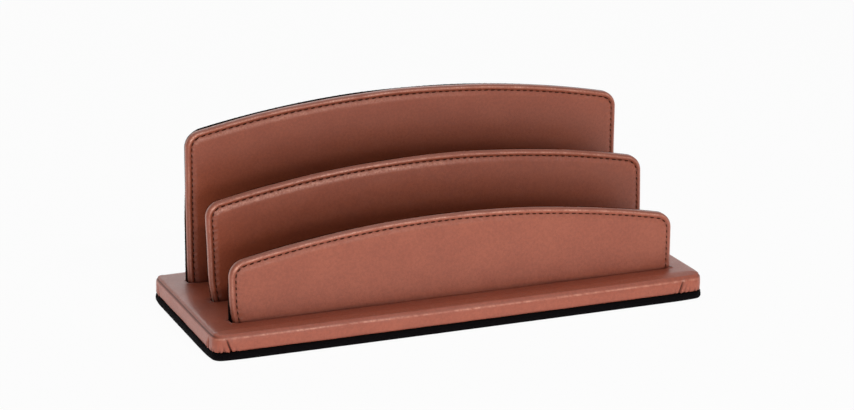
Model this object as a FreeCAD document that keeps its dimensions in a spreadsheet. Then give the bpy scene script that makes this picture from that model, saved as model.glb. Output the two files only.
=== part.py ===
import FreeCAD, Part
import math
import os

import Sketcher
from FreeCAD import Placement, Rotation, Vector

# Letter sorter covered in leather: a flat base on a velveteen pad, and three dividers with arched
# tops that stand in slits in the base. X runs along the width, Y from the front to the back and
# Z up. The origin is the middle of the underside, where the pad rests on the desk.
# Each divider is built in a frame of its own: its front face lies in the plane Y = 0 and Z = 0 is
# the top of the base. Its Placement then stands it in its slit.

# Driving sizes in millimetres: name, value and what it measures.
SIZES = (
    ("base_width", 292.0, "covered base from side to side"),
    ("base_depth", 116.0, "covered base from front to back"),
    ("base_corner", 5.0, "corner radius of the covered base, seen from above"),
    ("base_edge_round", 3.2, "rounding of the base's top edges, outside the leather"),
    ("base_board_thick", 8.0, "core board of the base"),
    ("base_board_bevel", 1.2, "bevel of the core board's top edges, under the rounded leather"),
    ("leather_thick", 1.2, "cover leather"),
    ("base_turn_in", 12.0, "width of the leather turned under the base board"),
    ("base_turn_in_corner", 4.0, "corner radius of the opening that the turned leather leaves"),
    ("pad_board_thick", 3.2, "board inside the pad"),
    ("velveteen_thick", 0.8, "velveteen round the pad board"),
    ("pad_margin", 0.6, "how far the pad stands out past the leather"),
    ("pad_edge_bevel", 0.7, "bevel that stands for the pad's soft edges"),
    ("pad_turn_in", 14.0, "width of the velveteen turned over the pad board"),
    ("pad_turn_in_corner", 4.0, "corner radius of the opening that the turned velveteen leaves"),
    ("divider_width", 264.0, "dividers from side to side"),
    ("divider_corner", 9.8, "radius of the dividers' top corners"),
    ("crown_rise", 14.8, "height of the arched top above its own ends"),
    ("foot_taper", 1.4, "how far each side of the leather draws in at the slit"),
    ("foot_taper_height", 16.0, "height over which it draws in"),
    ("rear_crest", 100.7, "crest of the rear divider above the base"),
    ("middle_crest", 70.4, "crest of the middle divider above the base"),
    ("front_crest", 47.0, "crest of the front divider above the base"),
    ("front_margin", 15.4, "base in front of the front divider"),
    ("front_pocket", 32.8, "space for letters between the front and middle dividers"),
    ("rear_pocket", 30.6, "space for letters between the middle and rear dividers"),
    ("divider_board_thick", 2.2, "board inside a divider"),
    ("padding_thick", 0.6, "padding between that board and the leather front"),
    ("divider_edge_round", 1.5, "rounding of a divider's front edge"),
    ("turned_leather_thick", 0.6, "leather pared thin and turned over a divider's back"),
    ("turned_leather_width", 7.0, "width of that turned leather"),
    ("turned_leather_corner", 3.0, "corner radius of the opening that it leaves"),
    ("lining_thick", 1.0, "velveteen lining on a divider's back"),
    ("lining_gap", 0.2, "gap between the lining's raised middle and the turned leather"),
    ("mortise_depth", 6.0, "depth of the mortises in the base board"),
    ("slit_gap", 0.15, "gap round a divider in its slit"),
    ("seam_inset", 3.2, "middle of the stitched seam from a divider's edge"),
    ("seam_channel_width", 1.3, "width of the channel that the seam draws in the leather"),
    ("seam_channel_depth", 0.45, "depth of that channel"),
    ("stitch_pitch", 4.0, "distance from one stitch to the next"),
    ("stitch_length", 2.7, "visible length of a stitch"),
    ("stitch_width", 0.7, "width of a stitch"),
    ("stitch_thick", 0.4, "thickness of a stitch"),
    ("past_foot", 2.0, "how far a cutting profile runs out below a divider's foot"),
)

# Sizes worked out from the driving ones.
CROWN_RADIUS = "(((Sizes.divider_width / 2)^2 + Sizes.crown_rise^2) / (2 * Sizes.crown_rise))"
TAPER_RADIUS = "((Sizes.foot_taper_height^2 + Sizes.foot_taper^2) / (2 * Sizes.foot_taper))"
PAD_HEIGHT = "(Sizes.pad_board_thick + 2 * Sizes.velveteen_thick)"
BASE_TOP = f"({PAD_HEIGHT} + Sizes.base_board_thick + 2 * Sizes.leather_thick)"
FOOT_DEPTH = "(Sizes.leather_thick + Sizes.mortise_depth)"
CORE_THICK = "(Sizes.padding_thick + Sizes.divider_board_thick)"
COVER_THICK = f"(Sizes.leather_thick + {CORE_THICK} + Sizes.turned_leather_thick)"
DIVIDER_THICK = f"({COVER_THICK} + Sizes.lining_thick)"

FRONT_FACE = "(Sizes.front_margin - Sizes.base_depth / 2)"
MIDDLE_FACE = f"({FRONT_FACE} + {DIVIDER_THICK} + Sizes.front_pocket)"
REAR_FACE = f"({MIDDLE_FACE} + {DIVIDER_THICK} + Sizes.rear_pocket)"

# Each divider's front face, measured from the middle of the base.
FACES = {"rear": REAR_FACE, "middle": MIDDLE_FACE, "front": FRONT_FACE}
TOLERANCE = 1e-6
POINTS_ON_EDGE = 5

doc = FreeCAD.newDocument("LetterSorter")
subparts = []


def make_sheet():
    """Write the driving sizes and their aliases into the spreadsheet."""
    table = doc.addObject("Spreadsheet::Sheet", "Sizes")
    for row, (alias, value, meaning) in enumerate(SIZES, start=1):
        table.set(f"A{row}", meaning)
        table.set(f"B{row}", str(value))
        table.setAlias(f"B{row}", alias)
    doc.recompute()
    return table


sheet = make_sheet()


def size(expression):
    """Number that an expression over the sheet's sizes gives."""
    return float(sheet.evalExpression(expression))


def place(subpart, along_y="0", up="0"):
    """Bind where a sub-part stands, and keep it for the final check."""
    subpart.setExpression("Placement.Base.y", along_y)
    subpart.setExpression("Placement.Base.z", up)
    subparts.append(subpart)


def new_body(label):
    body = doc.addObject("PartDesign::Body", label)
    body.Label = label
    return body


def new_sketch(body, name, role, offset="0"):
    """Sketch on one of the body's own origin planes, moved along its normal by an expression."""
    sketch = body.newObject("Sketcher::SketchObject", name)
    plane = next(item for item in body.Origin.OriginFeatures if getattr(item, "Role", "") == role)
    sketch.AttachmentSupport = [(plane, "")]
    sketch.MapMode = "FlatFace"
    sketch.setExpression("AttachmentOffset.Base.z", offset)
    return sketch


def dimension(sketch, name, kind, elements, expression):
    """Add a named dimension to a sketch and bind it to an expression."""
    index = sketch.addConstraint(Sketcher.Constraint(kind, *elements, size(expression)))
    sketch.renameConstraint(index, name)
    sketch.setExpression(f"Constraints.{name}", expression)


def extrude(body, kind, name, sketch, length, reverse=False):
    """Pad or Pocket of a sketch. It must add or remove material, or its direction is wrong."""
    before = body.Tip.Shape.Volume if body.Tip else 0.0
    feature = body.newObject(f"PartDesign::{kind}", name)
    feature.Profile = sketch
    feature.setExpression("Length", length)
    feature.Reversed = reverse
    doc.recompute()
    change = feature.Shape.Volume - before
    wanted = change > TOLERANCE if kind == "Pad" else change < -TOLERANCE
    if not wanted:
        raise RuntimeError(f"{body.Label}: {name} changed the volume by {change:.3f}")
    return feature


def ease_edges(body, kind, name, amount, wanted):
    """Fillet or Chamfer of every edge of the body's tip for which the test holds."""
    base = body.Tip
    edges = [f"Edge{i}" for i, edge in enumerate(base.Shape.Edges, start=1) if wanted(edge)]
    feature = body.newObject(f"PartDesign::{kind}", name)
    feature.Base = (base, edges)
    feature.setExpression("Radius" if kind == "Fillet" else "Size", amount)
    doc.recompute()
    return feature


def lies_at(edge, axis, level):
    """True where a whole edge lies at one level along an axis (0, 1 or 2)."""
    points = edge.discretize(Number=POINTS_ON_EDGE)
    return all(abs(point[axis] - level) < TOLERANCE for point in points)


def flat_at(*heights):
    """Test that holds for the edges lying flat at one of the heights."""
    return lambda edge: any(lies_at(edge, 2, height) for height in heights)


# Outlines


def rectangle(sketch, prefix, width, depth):
    """Rectangle centred on the sketch's origin, drawn anticlockwise."""
    half_x = size(width) / 2
    half_y = size(depth) / 2
    first = sketch.GeometryCount
    corners = [Vector(x * half_x, y * half_y, 0) for x, y in ((1, -1), (1, 1), (-1, 1), (-1, -1))]
    for number in range(4):
        sketch.addGeometry(Part.LineSegment(corners[number], corners[(number + 1) % 4]), False)
    for number in range(4):
        after = first + (number + 1) % 4
        sketch.addConstraint(Sketcher.Constraint("Coincident", first + number, 2, after, 1))
    for number in (0, 2):
        sketch.addConstraint(Sketcher.Constraint("Vertical", first + number))
        sketch.addConstraint(Sketcher.Constraint("Horizontal", first + number + 1))
    dimension(sketch, f"{prefix}_width", "DistanceX", (first + 2, 1, first, 1), width)
    dimension(sketch, f"{prefix}_depth", "DistanceY", (first, 1, first, 2), depth)
    sketch.addConstraint(Sketcher.Constraint("Symmetric", first, 1, first + 2, 1, -1, 1))


def rounded_rectangle(sketch, prefix, width, depth, corner):
    """Rectangle with arc corners, centred on the sketch's origin, drawn anticlockwise."""
    half_x = size(width) / 2
    half_y = size(depth) / 2
    radius = size(corner)
    first = sketch.GeometryCount
    ring = []
    turns = ((1, -1), (1, 1), (-1, 1), (-1, -1))
    for number, (side_x, side_y) in enumerate(turns):
        middle = Vector(side_x * (half_x - radius), side_y * (half_y - radius), 0)
        start = math.radians(90 * (number - 1))
        circle = Part.Circle(middle, Vector(0, 0, 1), radius)
        ring.append(Part.ArcOfCircle(circle, start, start + math.pi / 2))
    for number, arc in enumerate(ring):
        sketch.addGeometry(arc, False)
        following = ring[(number + 1) % 4]
        sketch.addGeometry(Part.LineSegment(arc.EndPoint, following.StartPoint), False)
    for number in range(8):
        here = first + number
        after = first + (number + 1) % 8
        sketch.addConstraint(Sketcher.Constraint("Tangent", here, 2, after, 1))
    for number in (1, 5):
        sketch.addConstraint(Sketcher.Constraint("Vertical", first + number))
        sketch.addConstraint(Sketcher.Constraint("Horizontal", first + number + 2))
    for number in (2, 4, 6):
        sketch.addConstraint(Sketcher.Constraint("Equal", first, first + number))
    dimension(sketch, f"{prefix}_corner", "Radius", (first,), corner)
    dimension(sketch, f"{prefix}_width", "DistanceX", (first + 5, 1, first + 1, 1), width)
    dimension(sketch, f"{prefix}_depth", "DistanceY", (first + 7, 1, first + 3, 1), depth)
    sketch.addConstraint(Sketcher.Constraint("Symmetric", first + 1, 1, first + 5, 1, -1, 1))


def arch_curves(crest, inset, corner, drop, tapered):
    """Curves of a divider's outline, drawn inwards by the inset, from its foot anticlockwise.

    They are the foot, the right side, the right corner, the crown, the left corner and the left
    side. A tapered side starts at the foot with the arc that draws the leather in.
    """
    half = size("Sizes.divider_width / 2") - inset
    crown = size(CROWN_RADIUS)
    crown_middle = Vector(0, crest - crown, 0)
    across = half - corner
    level = crown_middle.y + math.sqrt((crown - inset - corner) ** 2 - across**2)
    joint = math.atan2(level - crown_middle.y, across)
    foot = -size(FOOT_DEPTH) - drop
    up = Vector(0, 0, 1)

    def arc(x, z, radius, start, end):
        return Part.ArcOfCircle(Part.Circle(Vector(x, z, 0), up, radius), start, end)

    def line(x0, z0, x1, z1):
        return Part.LineSegment(Vector(x0, z0, 0), Vector(x1, z1, 0))

    top = [
        arc(across, level, corner, 0, joint),
        arc(0, crown_middle.y, crown - inset, joint, math.pi - joint),
        arc(-across, level, corner, math.pi - joint, math.pi),
    ]
    if not tapered:
        right = [line(half, foot, half, level)]
        left = [line(-half, level, -half, foot)]
        return [line(-half, foot, half, foot)] + right + top + left
    height = size("Sizes.foot_taper_height")
    radius = size(TAPER_RADIUS) - inset
    middle = half - radius
    swing = math.asin((height - foot) / radius)
    narrow = middle + radius * math.cos(swing)
    right = [arc(middle, height, radius, -swing, 0), line(half, height, half, level)]
    left = [line(-half, level, -half, height), arc(-middle, height, radius, math.pi, math.pi + swing)]
    return [line(-narrow, foot, narrow, foot)] + right + top + left


def arch_loop(sketch, prefix, crest, inset="0", corner="Sizes.divider_corner", drop="0", tapered=True):
    """Constrained outline of a divider in a sketch, all its sizes being expressions."""
    curves = arch_curves(size(crest), size(inset), size(corner), size(drop), tapered)
    first = sketch.GeometryCount
    count = len(curves)
    for curve in curves:
        sketch.addGeometry(curve, False)
    crown = first + count // 2
    right_corner = crown - 1
    left_corner = crown + 1
    right_side = crown - 2
    left_side = crown + 2
    last = first + count - 1
    for number in range(count):
        here = first + number
        after = first + (number + 1) % count
        kind = "Coincident" if here in (first, last) else "Tangent"
        sketch.addConstraint(Sketcher.Constraint(kind, here, 2, after, 1))
    sketch.addConstraint(Sketcher.Constraint("Vertical", right_side))
    sketch.addConstraint(Sketcher.Constraint("Vertical", left_side))
    sketch.addConstraint(Sketcher.Constraint("PointOnObject", crown, 3, -2))
    sketch.addConstraint(Sketcher.Constraint("Equal", right_corner, left_corner))
    sketch.addConstraint(Sketcher.Constraint("Symmetric", right_side, 1, left_side, 2, -2))
    half_width = f"Sizes.divider_width / 2 - ({inset})"
    across = (left_side, 2, right_side, 1)
    dimension(sketch, f"{prefix}_width", "DistanceX", across, f"2 * ({half_width})")
    dimension(sketch, f"{prefix}_corner", "Radius", (right_corner,), corner)
    dimension(sketch, f"{prefix}_crown", "Radius", (crown,), f"{CROWN_RADIUS} - ({inset})")
    dimension(sketch, f"{prefix}_middle", "DistanceY", (crown, 3, -1, 1), f"{CROWN_RADIUS} - {crest}")
    dimension(sketch, f"{prefix}_foot", "DistanceY", (first, 1, -1, 1), f"{FOOT_DEPTH} + {drop}")
    if tapered:
        right_taper = right_side - 1
        sketch.addConstraint(Sketcher.Constraint("Horizontal", first))
        sketch.addConstraint(Sketcher.Constraint("Equal", right_taper, last))
        dimension(sketch, f"{prefix}_taper", "Radius", (right_taper,), f"{TAPER_RADIUS} - ({inset})")
        height = "Sizes.foot_taper_height"
        dimension(sketch, f"{prefix}_taper_height", "DistanceY", (-1, 1, right_side, 1), height)


# Base: the core board, the leather over it and the pad below


def cut_slits(body, level, depth):
    """Cut the three slits of the dividers downwards from a level of the body."""
    for name, face in FACES.items():
        sketch = new_sketch(body, f"{name}_slit_outline", "XY_Plane", level)
        sketch.setExpression("AttachmentOffset.Base.y", f"{face} + {DIVIDER_THICK} / 2")
        width = "Sizes.divider_width + 2 * Sizes.slit_gap"
        thick = f"{DIVIDER_THICK} + 2 * Sizes.slit_gap"
        rectangle(sketch, "slit", width, thick)
        extrude(body, "Pocket", f"{name}_slit", sketch, depth)


def make_base_board():
    """Core board, smaller than the covered base by the leather all round."""
    body = new_body("base_board")
    outline = new_sketch(body, "outline", "XY_Plane")
    width = "Sizes.base_width - 2 * Sizes.leather_thick"
    depth = "Sizes.base_depth - 2 * Sizes.leather_thick"
    rounded_rectangle(outline, "board", width, depth, "Sizes.base_corner - Sizes.leather_thick")
    extrude(body, "Pad", "slab", outline, "Sizes.base_board_thick")
    on_top = flat_at(size("Sizes.base_board_thick"))
    ease_edges(body, "Chamfer", "top_edge", "Sizes.base_board_bevel", on_top)
    cut_slits(body, "Sizes.base_board_thick", "Sizes.mortise_depth")
    place(body, up=f"{PAD_HEIGHT} + Sizes.leather_thick")


def make_base_leather():
    """Leather over the top and sides of the board, with a border turned in underneath."""
    body = new_body("base_leather")
    outline = new_sketch(body, "outline", "XY_Plane")
    rounded_rectangle(outline, "cover", "Sizes.base_width", "Sizes.base_depth", "Sizes.base_corner")
    height = "(Sizes.base_board_thick + 2 * Sizes.leather_thick)"
    extrude(body, "Pad", "block", outline, height)
    ease_edges(body, "Fillet", "top_edge", "Sizes.base_edge_round", flat_at(size(height)))
    ceiling = f"{height} - Sizes.leather_thick"
    filling = new_sketch(body, "board_outline", "XY_Plane", ceiling)
    width = "Sizes.base_width - 2 * Sizes.leather_thick"
    depth = "Sizes.base_depth - 2 * Sizes.leather_thick"
    rounded_rectangle(filling, "board", width, depth, "Sizes.base_corner - Sizes.leather_thick")
    extrude(body, "Pocket", "board_space", filling, "Sizes.base_board_thick")
    ease_edges(body, "Chamfer", "inner_edge", "Sizes.base_board_bevel", flat_at(size(ceiling)))
    opening = new_sketch(body, "opening_outline", "XY_Plane", "Sizes.leather_thick")
    inner_width = "Sizes.base_width - 2 * Sizes.base_turn_in"
    inner_depth = "Sizes.base_depth - 2 * Sizes.base_turn_in"
    rounded_rectangle(opening, "opening", inner_width, inner_depth, "Sizes.base_turn_in_corner")
    extrude(body, "Pocket", "opening", opening, "Sizes.leather_thick")
    cut_slits(body, height, "Sizes.leather_thick")
    place(body, up=PAD_HEIGHT)


def make_pad_velveteen():
    """Velveteen wrapped round the pad board, with a border turned in on top."""
    body = new_body("base_pad_velveteen")
    width = "Sizes.base_width + 2 * Sizes.pad_margin"
    depth = "Sizes.base_depth + 2 * Sizes.pad_margin"
    corner = "Sizes.base_corner + Sizes.pad_margin"
    outline = new_sketch(body, "outline", "XY_Plane")
    rounded_rectangle(outline, "pad", width, depth, corner)
    extrude(body, "Pad", "block", outline, PAD_HEIGHT)
    ease_edges(body, "Chamfer", "edges", "Sizes.pad_edge_bevel", flat_at(0.0, size(PAD_HEIGHT)))
    wall = "Sizes.velveteen_thick"
    filling = new_sketch(body, "board_outline", "XY_Plane", f"{PAD_HEIGHT} - {wall}")
    inner_width = f"{width} - 2 * {wall}"
    inner_depth = f"{depth} - 2 * {wall}"
    rounded_rectangle(filling, "board", inner_width, inner_depth, f"{corner} - {wall}")
    extrude(body, "Pocket", "board_space", filling, "Sizes.pad_board_thick")
    opening = new_sketch(body, "opening_outline", "XY_Plane", PAD_HEIGHT)
    open_width = f"{width} - 2 * Sizes.pad_turn_in"
    open_depth = f"{depth} - 2 * Sizes.pad_turn_in"
    rounded_rectangle(opening, "opening", open_width, open_depth, "Sizes.pad_turn_in_corner")
    extrude(body, "Pocket", "opening", opening, wall)
    place(body)


def make_pad_board():
    """Board that fills the velveteen."""
    body = new_body("base_pad_board")
    outline = new_sketch(body, "outline", "XY_Plane")
    inset = "2 * (Sizes.pad_margin - Sizes.velveteen_thick)"
    corner = "Sizes.base_corner + Sizes.pad_margin - Sizes.velveteen_thick"
    width = f"Sizes.base_width + {inset}"
    depth = f"Sizes.base_depth + {inset}"
    rounded_rectangle(outline, "board", width, depth, corner)
    extrude(body, "Pad", "slab", outline, "Sizes.pad_board_thick")
    place(body, up="Sizes.velveteen_thick")


# Dividers: each has a board, padding, a leather front turned round the edges, a lining and a seam


def make_divider_leather(name, crest, face):
    """Leather front of a divider, turned round the edges and over a border of the back."""
    body = new_body(f"{name}_leather")
    outline = new_sketch(body, "outline", "XZ_Plane")
    arch_loop(outline, "edge", crest)
    extrude(body, "Pad", "block", outline, COVER_THICK, reverse=True)
    foot = -size(FOOT_DEPTH)

    def at_front(edge):
        return lies_at(edge, 1, 0.0) and not lies_at(edge, 2, foot)

    ease_edges(body, "Fillet", "front_edge", "Sizes.divider_edge_round", at_front)
    core = new_sketch(body, "core_outline", "XZ_Plane", "-Sizes.leather_thick")
    inset = "Sizes.leather_thick"
    corner = "Sizes.divider_corner - Sizes.leather_thick"
    arch_loop(core, "core", crest, inset, corner, "Sizes.past_foot")
    extrude(body, "Pocket", "core_space", core, CORE_THICK)
    before_back = f"-({COVER_THICK} - Sizes.turned_leather_thick)"
    opening = new_sketch(body, "opening_outline", "XZ_Plane", before_back)
    inset = "Sizes.turned_leather_width"
    arch_loop(opening, "opening", crest, inset, "Sizes.turned_leather_corner", "Sizes.past_foot")
    extrude(body, "Pocket", "opening", opening, "Sizes.turned_leather_thick")
    channel = new_sketch(body, "seam_outline", "XZ_Plane")
    outer = "Sizes.seam_inset - Sizes.seam_channel_width / 2"
    inner = "Sizes.seam_inset + Sizes.seam_channel_width / 2"
    arch_loop(channel, "outer", crest, outer, f"Sizes.divider_corner - ({outer})", "Sizes.past_foot")
    arch_loop(channel, "inner", crest, inner, f"Sizes.divider_corner - ({inner})", "Sizes.past_foot / 2")
    extrude(body, "Pocket", "seam_channel", channel, "Sizes.seam_channel_depth")
    place(body, face, BASE_TOP)


def make_divider_layer(label, crest, face, before, thick):
    """Flat layer inside a divider's leather: its padding or its board."""
    body = new_body(label)
    outline = new_sketch(body, "outline", "XZ_Plane")
    arch_loop(outline, "edge", crest, "Sizes.leather_thick", "Sizes.divider_corner - Sizes.leather_thick")
    extrude(body, "Pad", "layer", outline, thick, reverse=True)
    place(body, f"{face} + {before}", BASE_TOP)


def make_divider_lining(name, crest, face):
    """Lining on a divider's back, whose raised middle fills the opening in the turned leather."""
    body = new_body(f"{name}_lining")
    raised = "Sizes.turned_leather_thick"
    sheet_outline = new_sketch(body, "sheet_outline", "XZ_Plane", f"-{raised}")
    arch_loop(sheet_outline, "edge", crest, tapered=False)
    extrude(body, "Pad", "sheet", sheet_outline, "Sizes.lining_thick", reverse=True)
    middle = new_sketch(body, "middle_outline", "XZ_Plane")
    inset = "Sizes.turned_leather_width + Sizes.lining_gap"
    arch_loop(middle, "middle", crest, inset, "Sizes.turned_leather_corner")
    extrude(body, "Pad", "raised_middle", middle, raised, reverse=True)
    place(body, f"{face} + {COVER_THICK} - {raised}", BASE_TOP)


def make_divider_stitching(name, crest, face):
    """Row of stitches along the seam, each lying on the floor of its channel."""
    inset = size("Sizes.seam_inset")
    corner = size("Sizes.divider_corner") - inset
    foot, *round_the_top = arch_curves(size(crest), inset, corner, -size(FOOT_DEPTH), True)
    seam = Part.Wire([curve.toShape() for curve in round_the_top])
    count = int(seam.Length // size("Sizes.stitch_pitch"))
    points = seam.discretize(Number=count + 1)
    length = size("Sizes.stitch_length")
    half_width = size("Sizes.stitch_width") / 2
    floor = size("Sizes.seam_channel_depth")
    ridge = floor - size("Sizes.stitch_thick")
    end_x = -length / 2
    section = [
        Vector(end_x, floor, -half_width),
        Vector(end_x, floor, half_width),
        Vector(end_x, ridge, 0),
    ]
    bar = Part.Face(Part.makePolygon(section + section[:1])).extrude(Vector(length, 0, 0))
    stitches = []
    for start, end in zip(points, points[1:]):
        middle = (start + end) / 2
        slope = math.degrees(math.atan2(end.y - start.y, end.x - start.x))
        stitch = bar.copy()
        turn = Rotation(Vector(0, -1, 0), slope)
        stitch.Placement = Placement(Vector(middle.x, 0, middle.y), turn)
        stitches.append(stitch)
    row = doc.addObject("Part::Feature", f"{name}_stitching")
    row.Label = f"{name}_stitching"
    row.Shape = Part.makeCompound(stitches)
    place(row, face, BASE_TOP)


def make_divider(name, face):
    """All the pieces of one divider, from its front face backwards."""
    crest = f"Sizes.{name}_crest"
    make_divider_leather(name, crest, face)
    make_divider_layer(f"{name}_padding", crest, face, "Sizes.leather_thick", "Sizes.padding_thick")
    before_board = "Sizes.leather_thick + Sizes.padding_thick"
    make_divider_layer(f"{name}_board", crest, face, before_board, "Sizes.divider_board_thick")
    make_divider_lining(name, crest, face)
    make_divider_stitching(name, crest, face)


def check_and_write():
    """Stop if an object failed, then write each sub-part's shape to a file with its label."""
    doc.recompute()
    for item in doc.Objects:
        if {"Invalid", "Error"} & set(item.State):
            raise RuntimeError(f"{item.Label} failed: {item.State}")
    for subpart in subparts:
        if subpart.Shape.isNull() or not subpart.Shape.isValid():
            raise RuntimeError(f"{subpart.Label} has no valid shape")
    os.makedirs("parts", exist_ok=True)
    for subpart in subparts:
        subpart.Shape.exportStep(f"parts/{subpart.Label}.step")
        print(f"{subpart.Label}: {len(subpart.Shape.Solids)} solids, {subpart.Shape.Volume:.1f} mm3")


make_base_board()
make_base_leather()
make_pad_velveteen()
make_pad_board()
for divider, front in FACES.items():
    make_divider(divider, front)
check_and_write()
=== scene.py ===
import logging
import math
from dataclasses import dataclass
from enum import Enum
from typing import Sequence, Union

import bpy
import numpy as np
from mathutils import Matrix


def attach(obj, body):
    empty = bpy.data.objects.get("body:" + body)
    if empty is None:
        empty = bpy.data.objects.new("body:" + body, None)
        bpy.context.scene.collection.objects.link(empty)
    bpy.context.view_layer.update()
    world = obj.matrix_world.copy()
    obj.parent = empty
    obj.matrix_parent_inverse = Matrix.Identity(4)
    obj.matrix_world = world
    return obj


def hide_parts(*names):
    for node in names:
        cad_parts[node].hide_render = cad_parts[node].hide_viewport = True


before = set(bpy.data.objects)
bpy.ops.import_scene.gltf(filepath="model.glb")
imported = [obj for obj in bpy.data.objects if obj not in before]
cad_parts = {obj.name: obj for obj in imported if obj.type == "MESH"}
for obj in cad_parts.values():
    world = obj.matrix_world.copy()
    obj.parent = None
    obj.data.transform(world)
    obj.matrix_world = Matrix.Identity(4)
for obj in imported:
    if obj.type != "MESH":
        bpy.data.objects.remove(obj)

# Letter sorter covered in leather: a base on a velveteen pad and three dividers with arched tops.
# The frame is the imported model's: X along the width, Y from the front to the back, Z up, with the
# origin in the middle of the underside. Shapes are worked out in millimetres and written in metres.

Array = np.ndarray
Value = Union[bpy.types.NodeSocket, float, tuple]

MM = 0.001  # a millimetre in metres
SEED = 4207  # start of every random draw
PHOTO_WIDTH = 854  # in pixels
RIPPLE_WAVES = 7  # sine waves in a ripple
GRADING_SAMPLES = 6000  # places at which a graded line's spacing is summed
FAR = 1e3  # further than any distance on the object, in millimetres
COARSE_INSET = 8.4  # of the innermost row round a divider's core, in millimetres
WHITE = (1.0, 1.0, 1.0, 1.0)
log = logging.getLogger("letter_sorter")


class Slot(Enum):
    """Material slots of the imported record."""

    CORE_BOARD = "core_board"
    LEATHER = "leather"
    PAD_BOARD = "pad_board"
    VELVETEEN = "velveteen"
    DIVIDER_BOARD = "divider_board"
    PADDING = "padding"
    LINING = "lining"
    THREAD = "thread"


class Side(Enum):
    """Side of a divider that a row of stitches lies on, as the sign of its direction along Y."""

    FRONT = -1
    BACK = 1


class Wave(Enum):
    """Kinds of unevenness, each with its seed and its mean wavelength in millimetres."""

    SEAM_FOLDS = (0, 2.1)
    DIVIDER_FACE = (1, 42.0)
    DIVIDER_EDGE = (2, 46.0)
    RUBBED_RIDGE = (3, 17.0)
    LINING_EDGE = (4, 2.2)
    LINING_FACE = (5, 24.0)
    RUBBED_SEAM = (6, 6.0)
    BASE_TOP = (31, 38.0)
    BASE_SIDE = (32, 21.0)
    SCALLOPS = (33, 2.6)
    RUBBED_PATCHES = (34, 15.0)
    RUBBED_SPECKS = (35, 2.4)
    PAD_LUMPS = (41, 5.2)
    PAD_SWELLS = (42, 17.0)
    PAD_EDGE = (43, 11.0)


# Shapes of numbers


def bell(distance: Array, width: float) -> Array:
    """One at no distance, falling as exp(-(distance / width) squared)."""
    return np.exp(-((distance / width) ** 2))


def ramp(value: Array, low: float, high: float) -> Array:
    """Smooth step from 0 at low to 1 at high, as 3 t squared less 2 t cubed."""
    t = np.clip((value - low) / (high - low), 0.0, 1.0)
    return t * t * (3.0 - 2.0 * t)


def soft_max(value: Array, floor: float, blend: float = 0.06) -> Array:
    """Value kept above a floor, with a hyperbola in place of the kink."""
    return 0.5 * (value + floor + np.sqrt((value - floor) ** 2 + blend**2))


def soft_clip(value: Array, low: float, high: float) -> Array:
    """Value kept between two levels, with smooth bends at both."""
    return -soft_max(-soft_max(value, low), -high)


def ripple(x: Array, y: Array, wave: Wave, seed: int = 0) -> Array:
    """Gentle unevenness: a sum of sine waves in seeded directions, near the given wavelength.

    Args:
        x: First coordinate of every point, in millimetres.
        y: Second coordinate of every point, in millimetres.
        wave: Kind of unevenness, which gives the mean wavelength.
        seed: Number of the piece, which changes the directions, lengths and phases.

    Returns:
        Values from about -1 to 1, one for each point.
    """
    number, length = wave.value
    rng = np.random.default_rng(SEED + seed + number)
    turn = rng.uniform(0.0, 2.0 * math.pi, RIPPLE_WAVES)
    rate = 2.0 * math.pi / (length * rng.uniform(0.6, 1.7, RIPPLE_WAVES))
    start = rng.uniform(0.0, 2.0 * math.pi, RIPPLE_WAVES)
    flat_x = np.asarray(x)[..., None] * np.cos(turn)
    flat_y = np.asarray(y)[..., None] * np.sin(turn)
    return np.sin((flat_x + flat_y) * rate + start).sum(axis=-1) / math.sqrt(RIPPLE_WAVES) / 1.4


def graded(stops: Sequence[tuple[float, float]], exact: Sequence[float] = ()) -> Array:
    """Positions along a line whose spacing changes smoothly between stops.

    The running sum of one over the spacing is divided evenly, and read back as positions.

    Args:
        stops: Pairs of a position and the spacing wanted there, in rising order.
        exact: Positions that must be among the results, taken by the nearest one.

    Returns:
        Rising positions from the first stop to the last.
    """
    places, steps = np.array(stops, float).T
    fine = np.linspace(places[0], places[-1], GRADING_SAMPLES)
    density = 1.0 / np.exp(np.interp(fine, places, np.log(steps)))
    total = np.concatenate([[0.0], np.cumsum((density[1:] + density[:-1]) / 2 * np.diff(fine))])
    line = np.interp(np.linspace(0.0, total[-1], int(math.ceil(total[-1])) + 1), total, fine)
    for value in exact:
        line[np.abs(line - value).argmin()] = value
    return line


def grid_quads(number: Array) -> Array:
    """Quads between the neighbouring lines of a grid of point numbers."""
    corners = (number[:-1, :-1], number[1:, :-1], number[1:, 1:], number[:-1, 1:])
    return np.stack([part.ravel() for part in corners], axis=1)


# Sheets


@dataclass(frozen=True)
class Layout:
    """Flat plan of a sheet: a core of quads, and a border that rows of points are carried along.

    Attributes:
        base: Points of the core's border, anticlockwise.
        out: Unit directions away from the core, one for each border point.
        core: Points of the core.
        core_faces: Quads of the core, anticlockwise.
        border: Core point met by every border point that meets one.
        ratio: Border points for each that meets a core point.
        closed: Whether the border runs all the way round.
    """

    base: Array
    out: Array
    core: Array
    core_faces: Array
    border: Array
    ratio: int
    closed: bool


@dataclass(frozen=True)
class Row:
    """One row of points round a layout.

    Attributes:
        reach: How far it lies out of the core's border, in millimetres.
        level: Its height on the sheet's own axis, in millimetres.
        pull: How far the border is first drawn towards the middle, in millimetres.
        fine: Whether it has every border point, or only those that meet the core.
    """

    reach: float
    level: float
    pull: float = 0.0
    fine: bool = True


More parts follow.
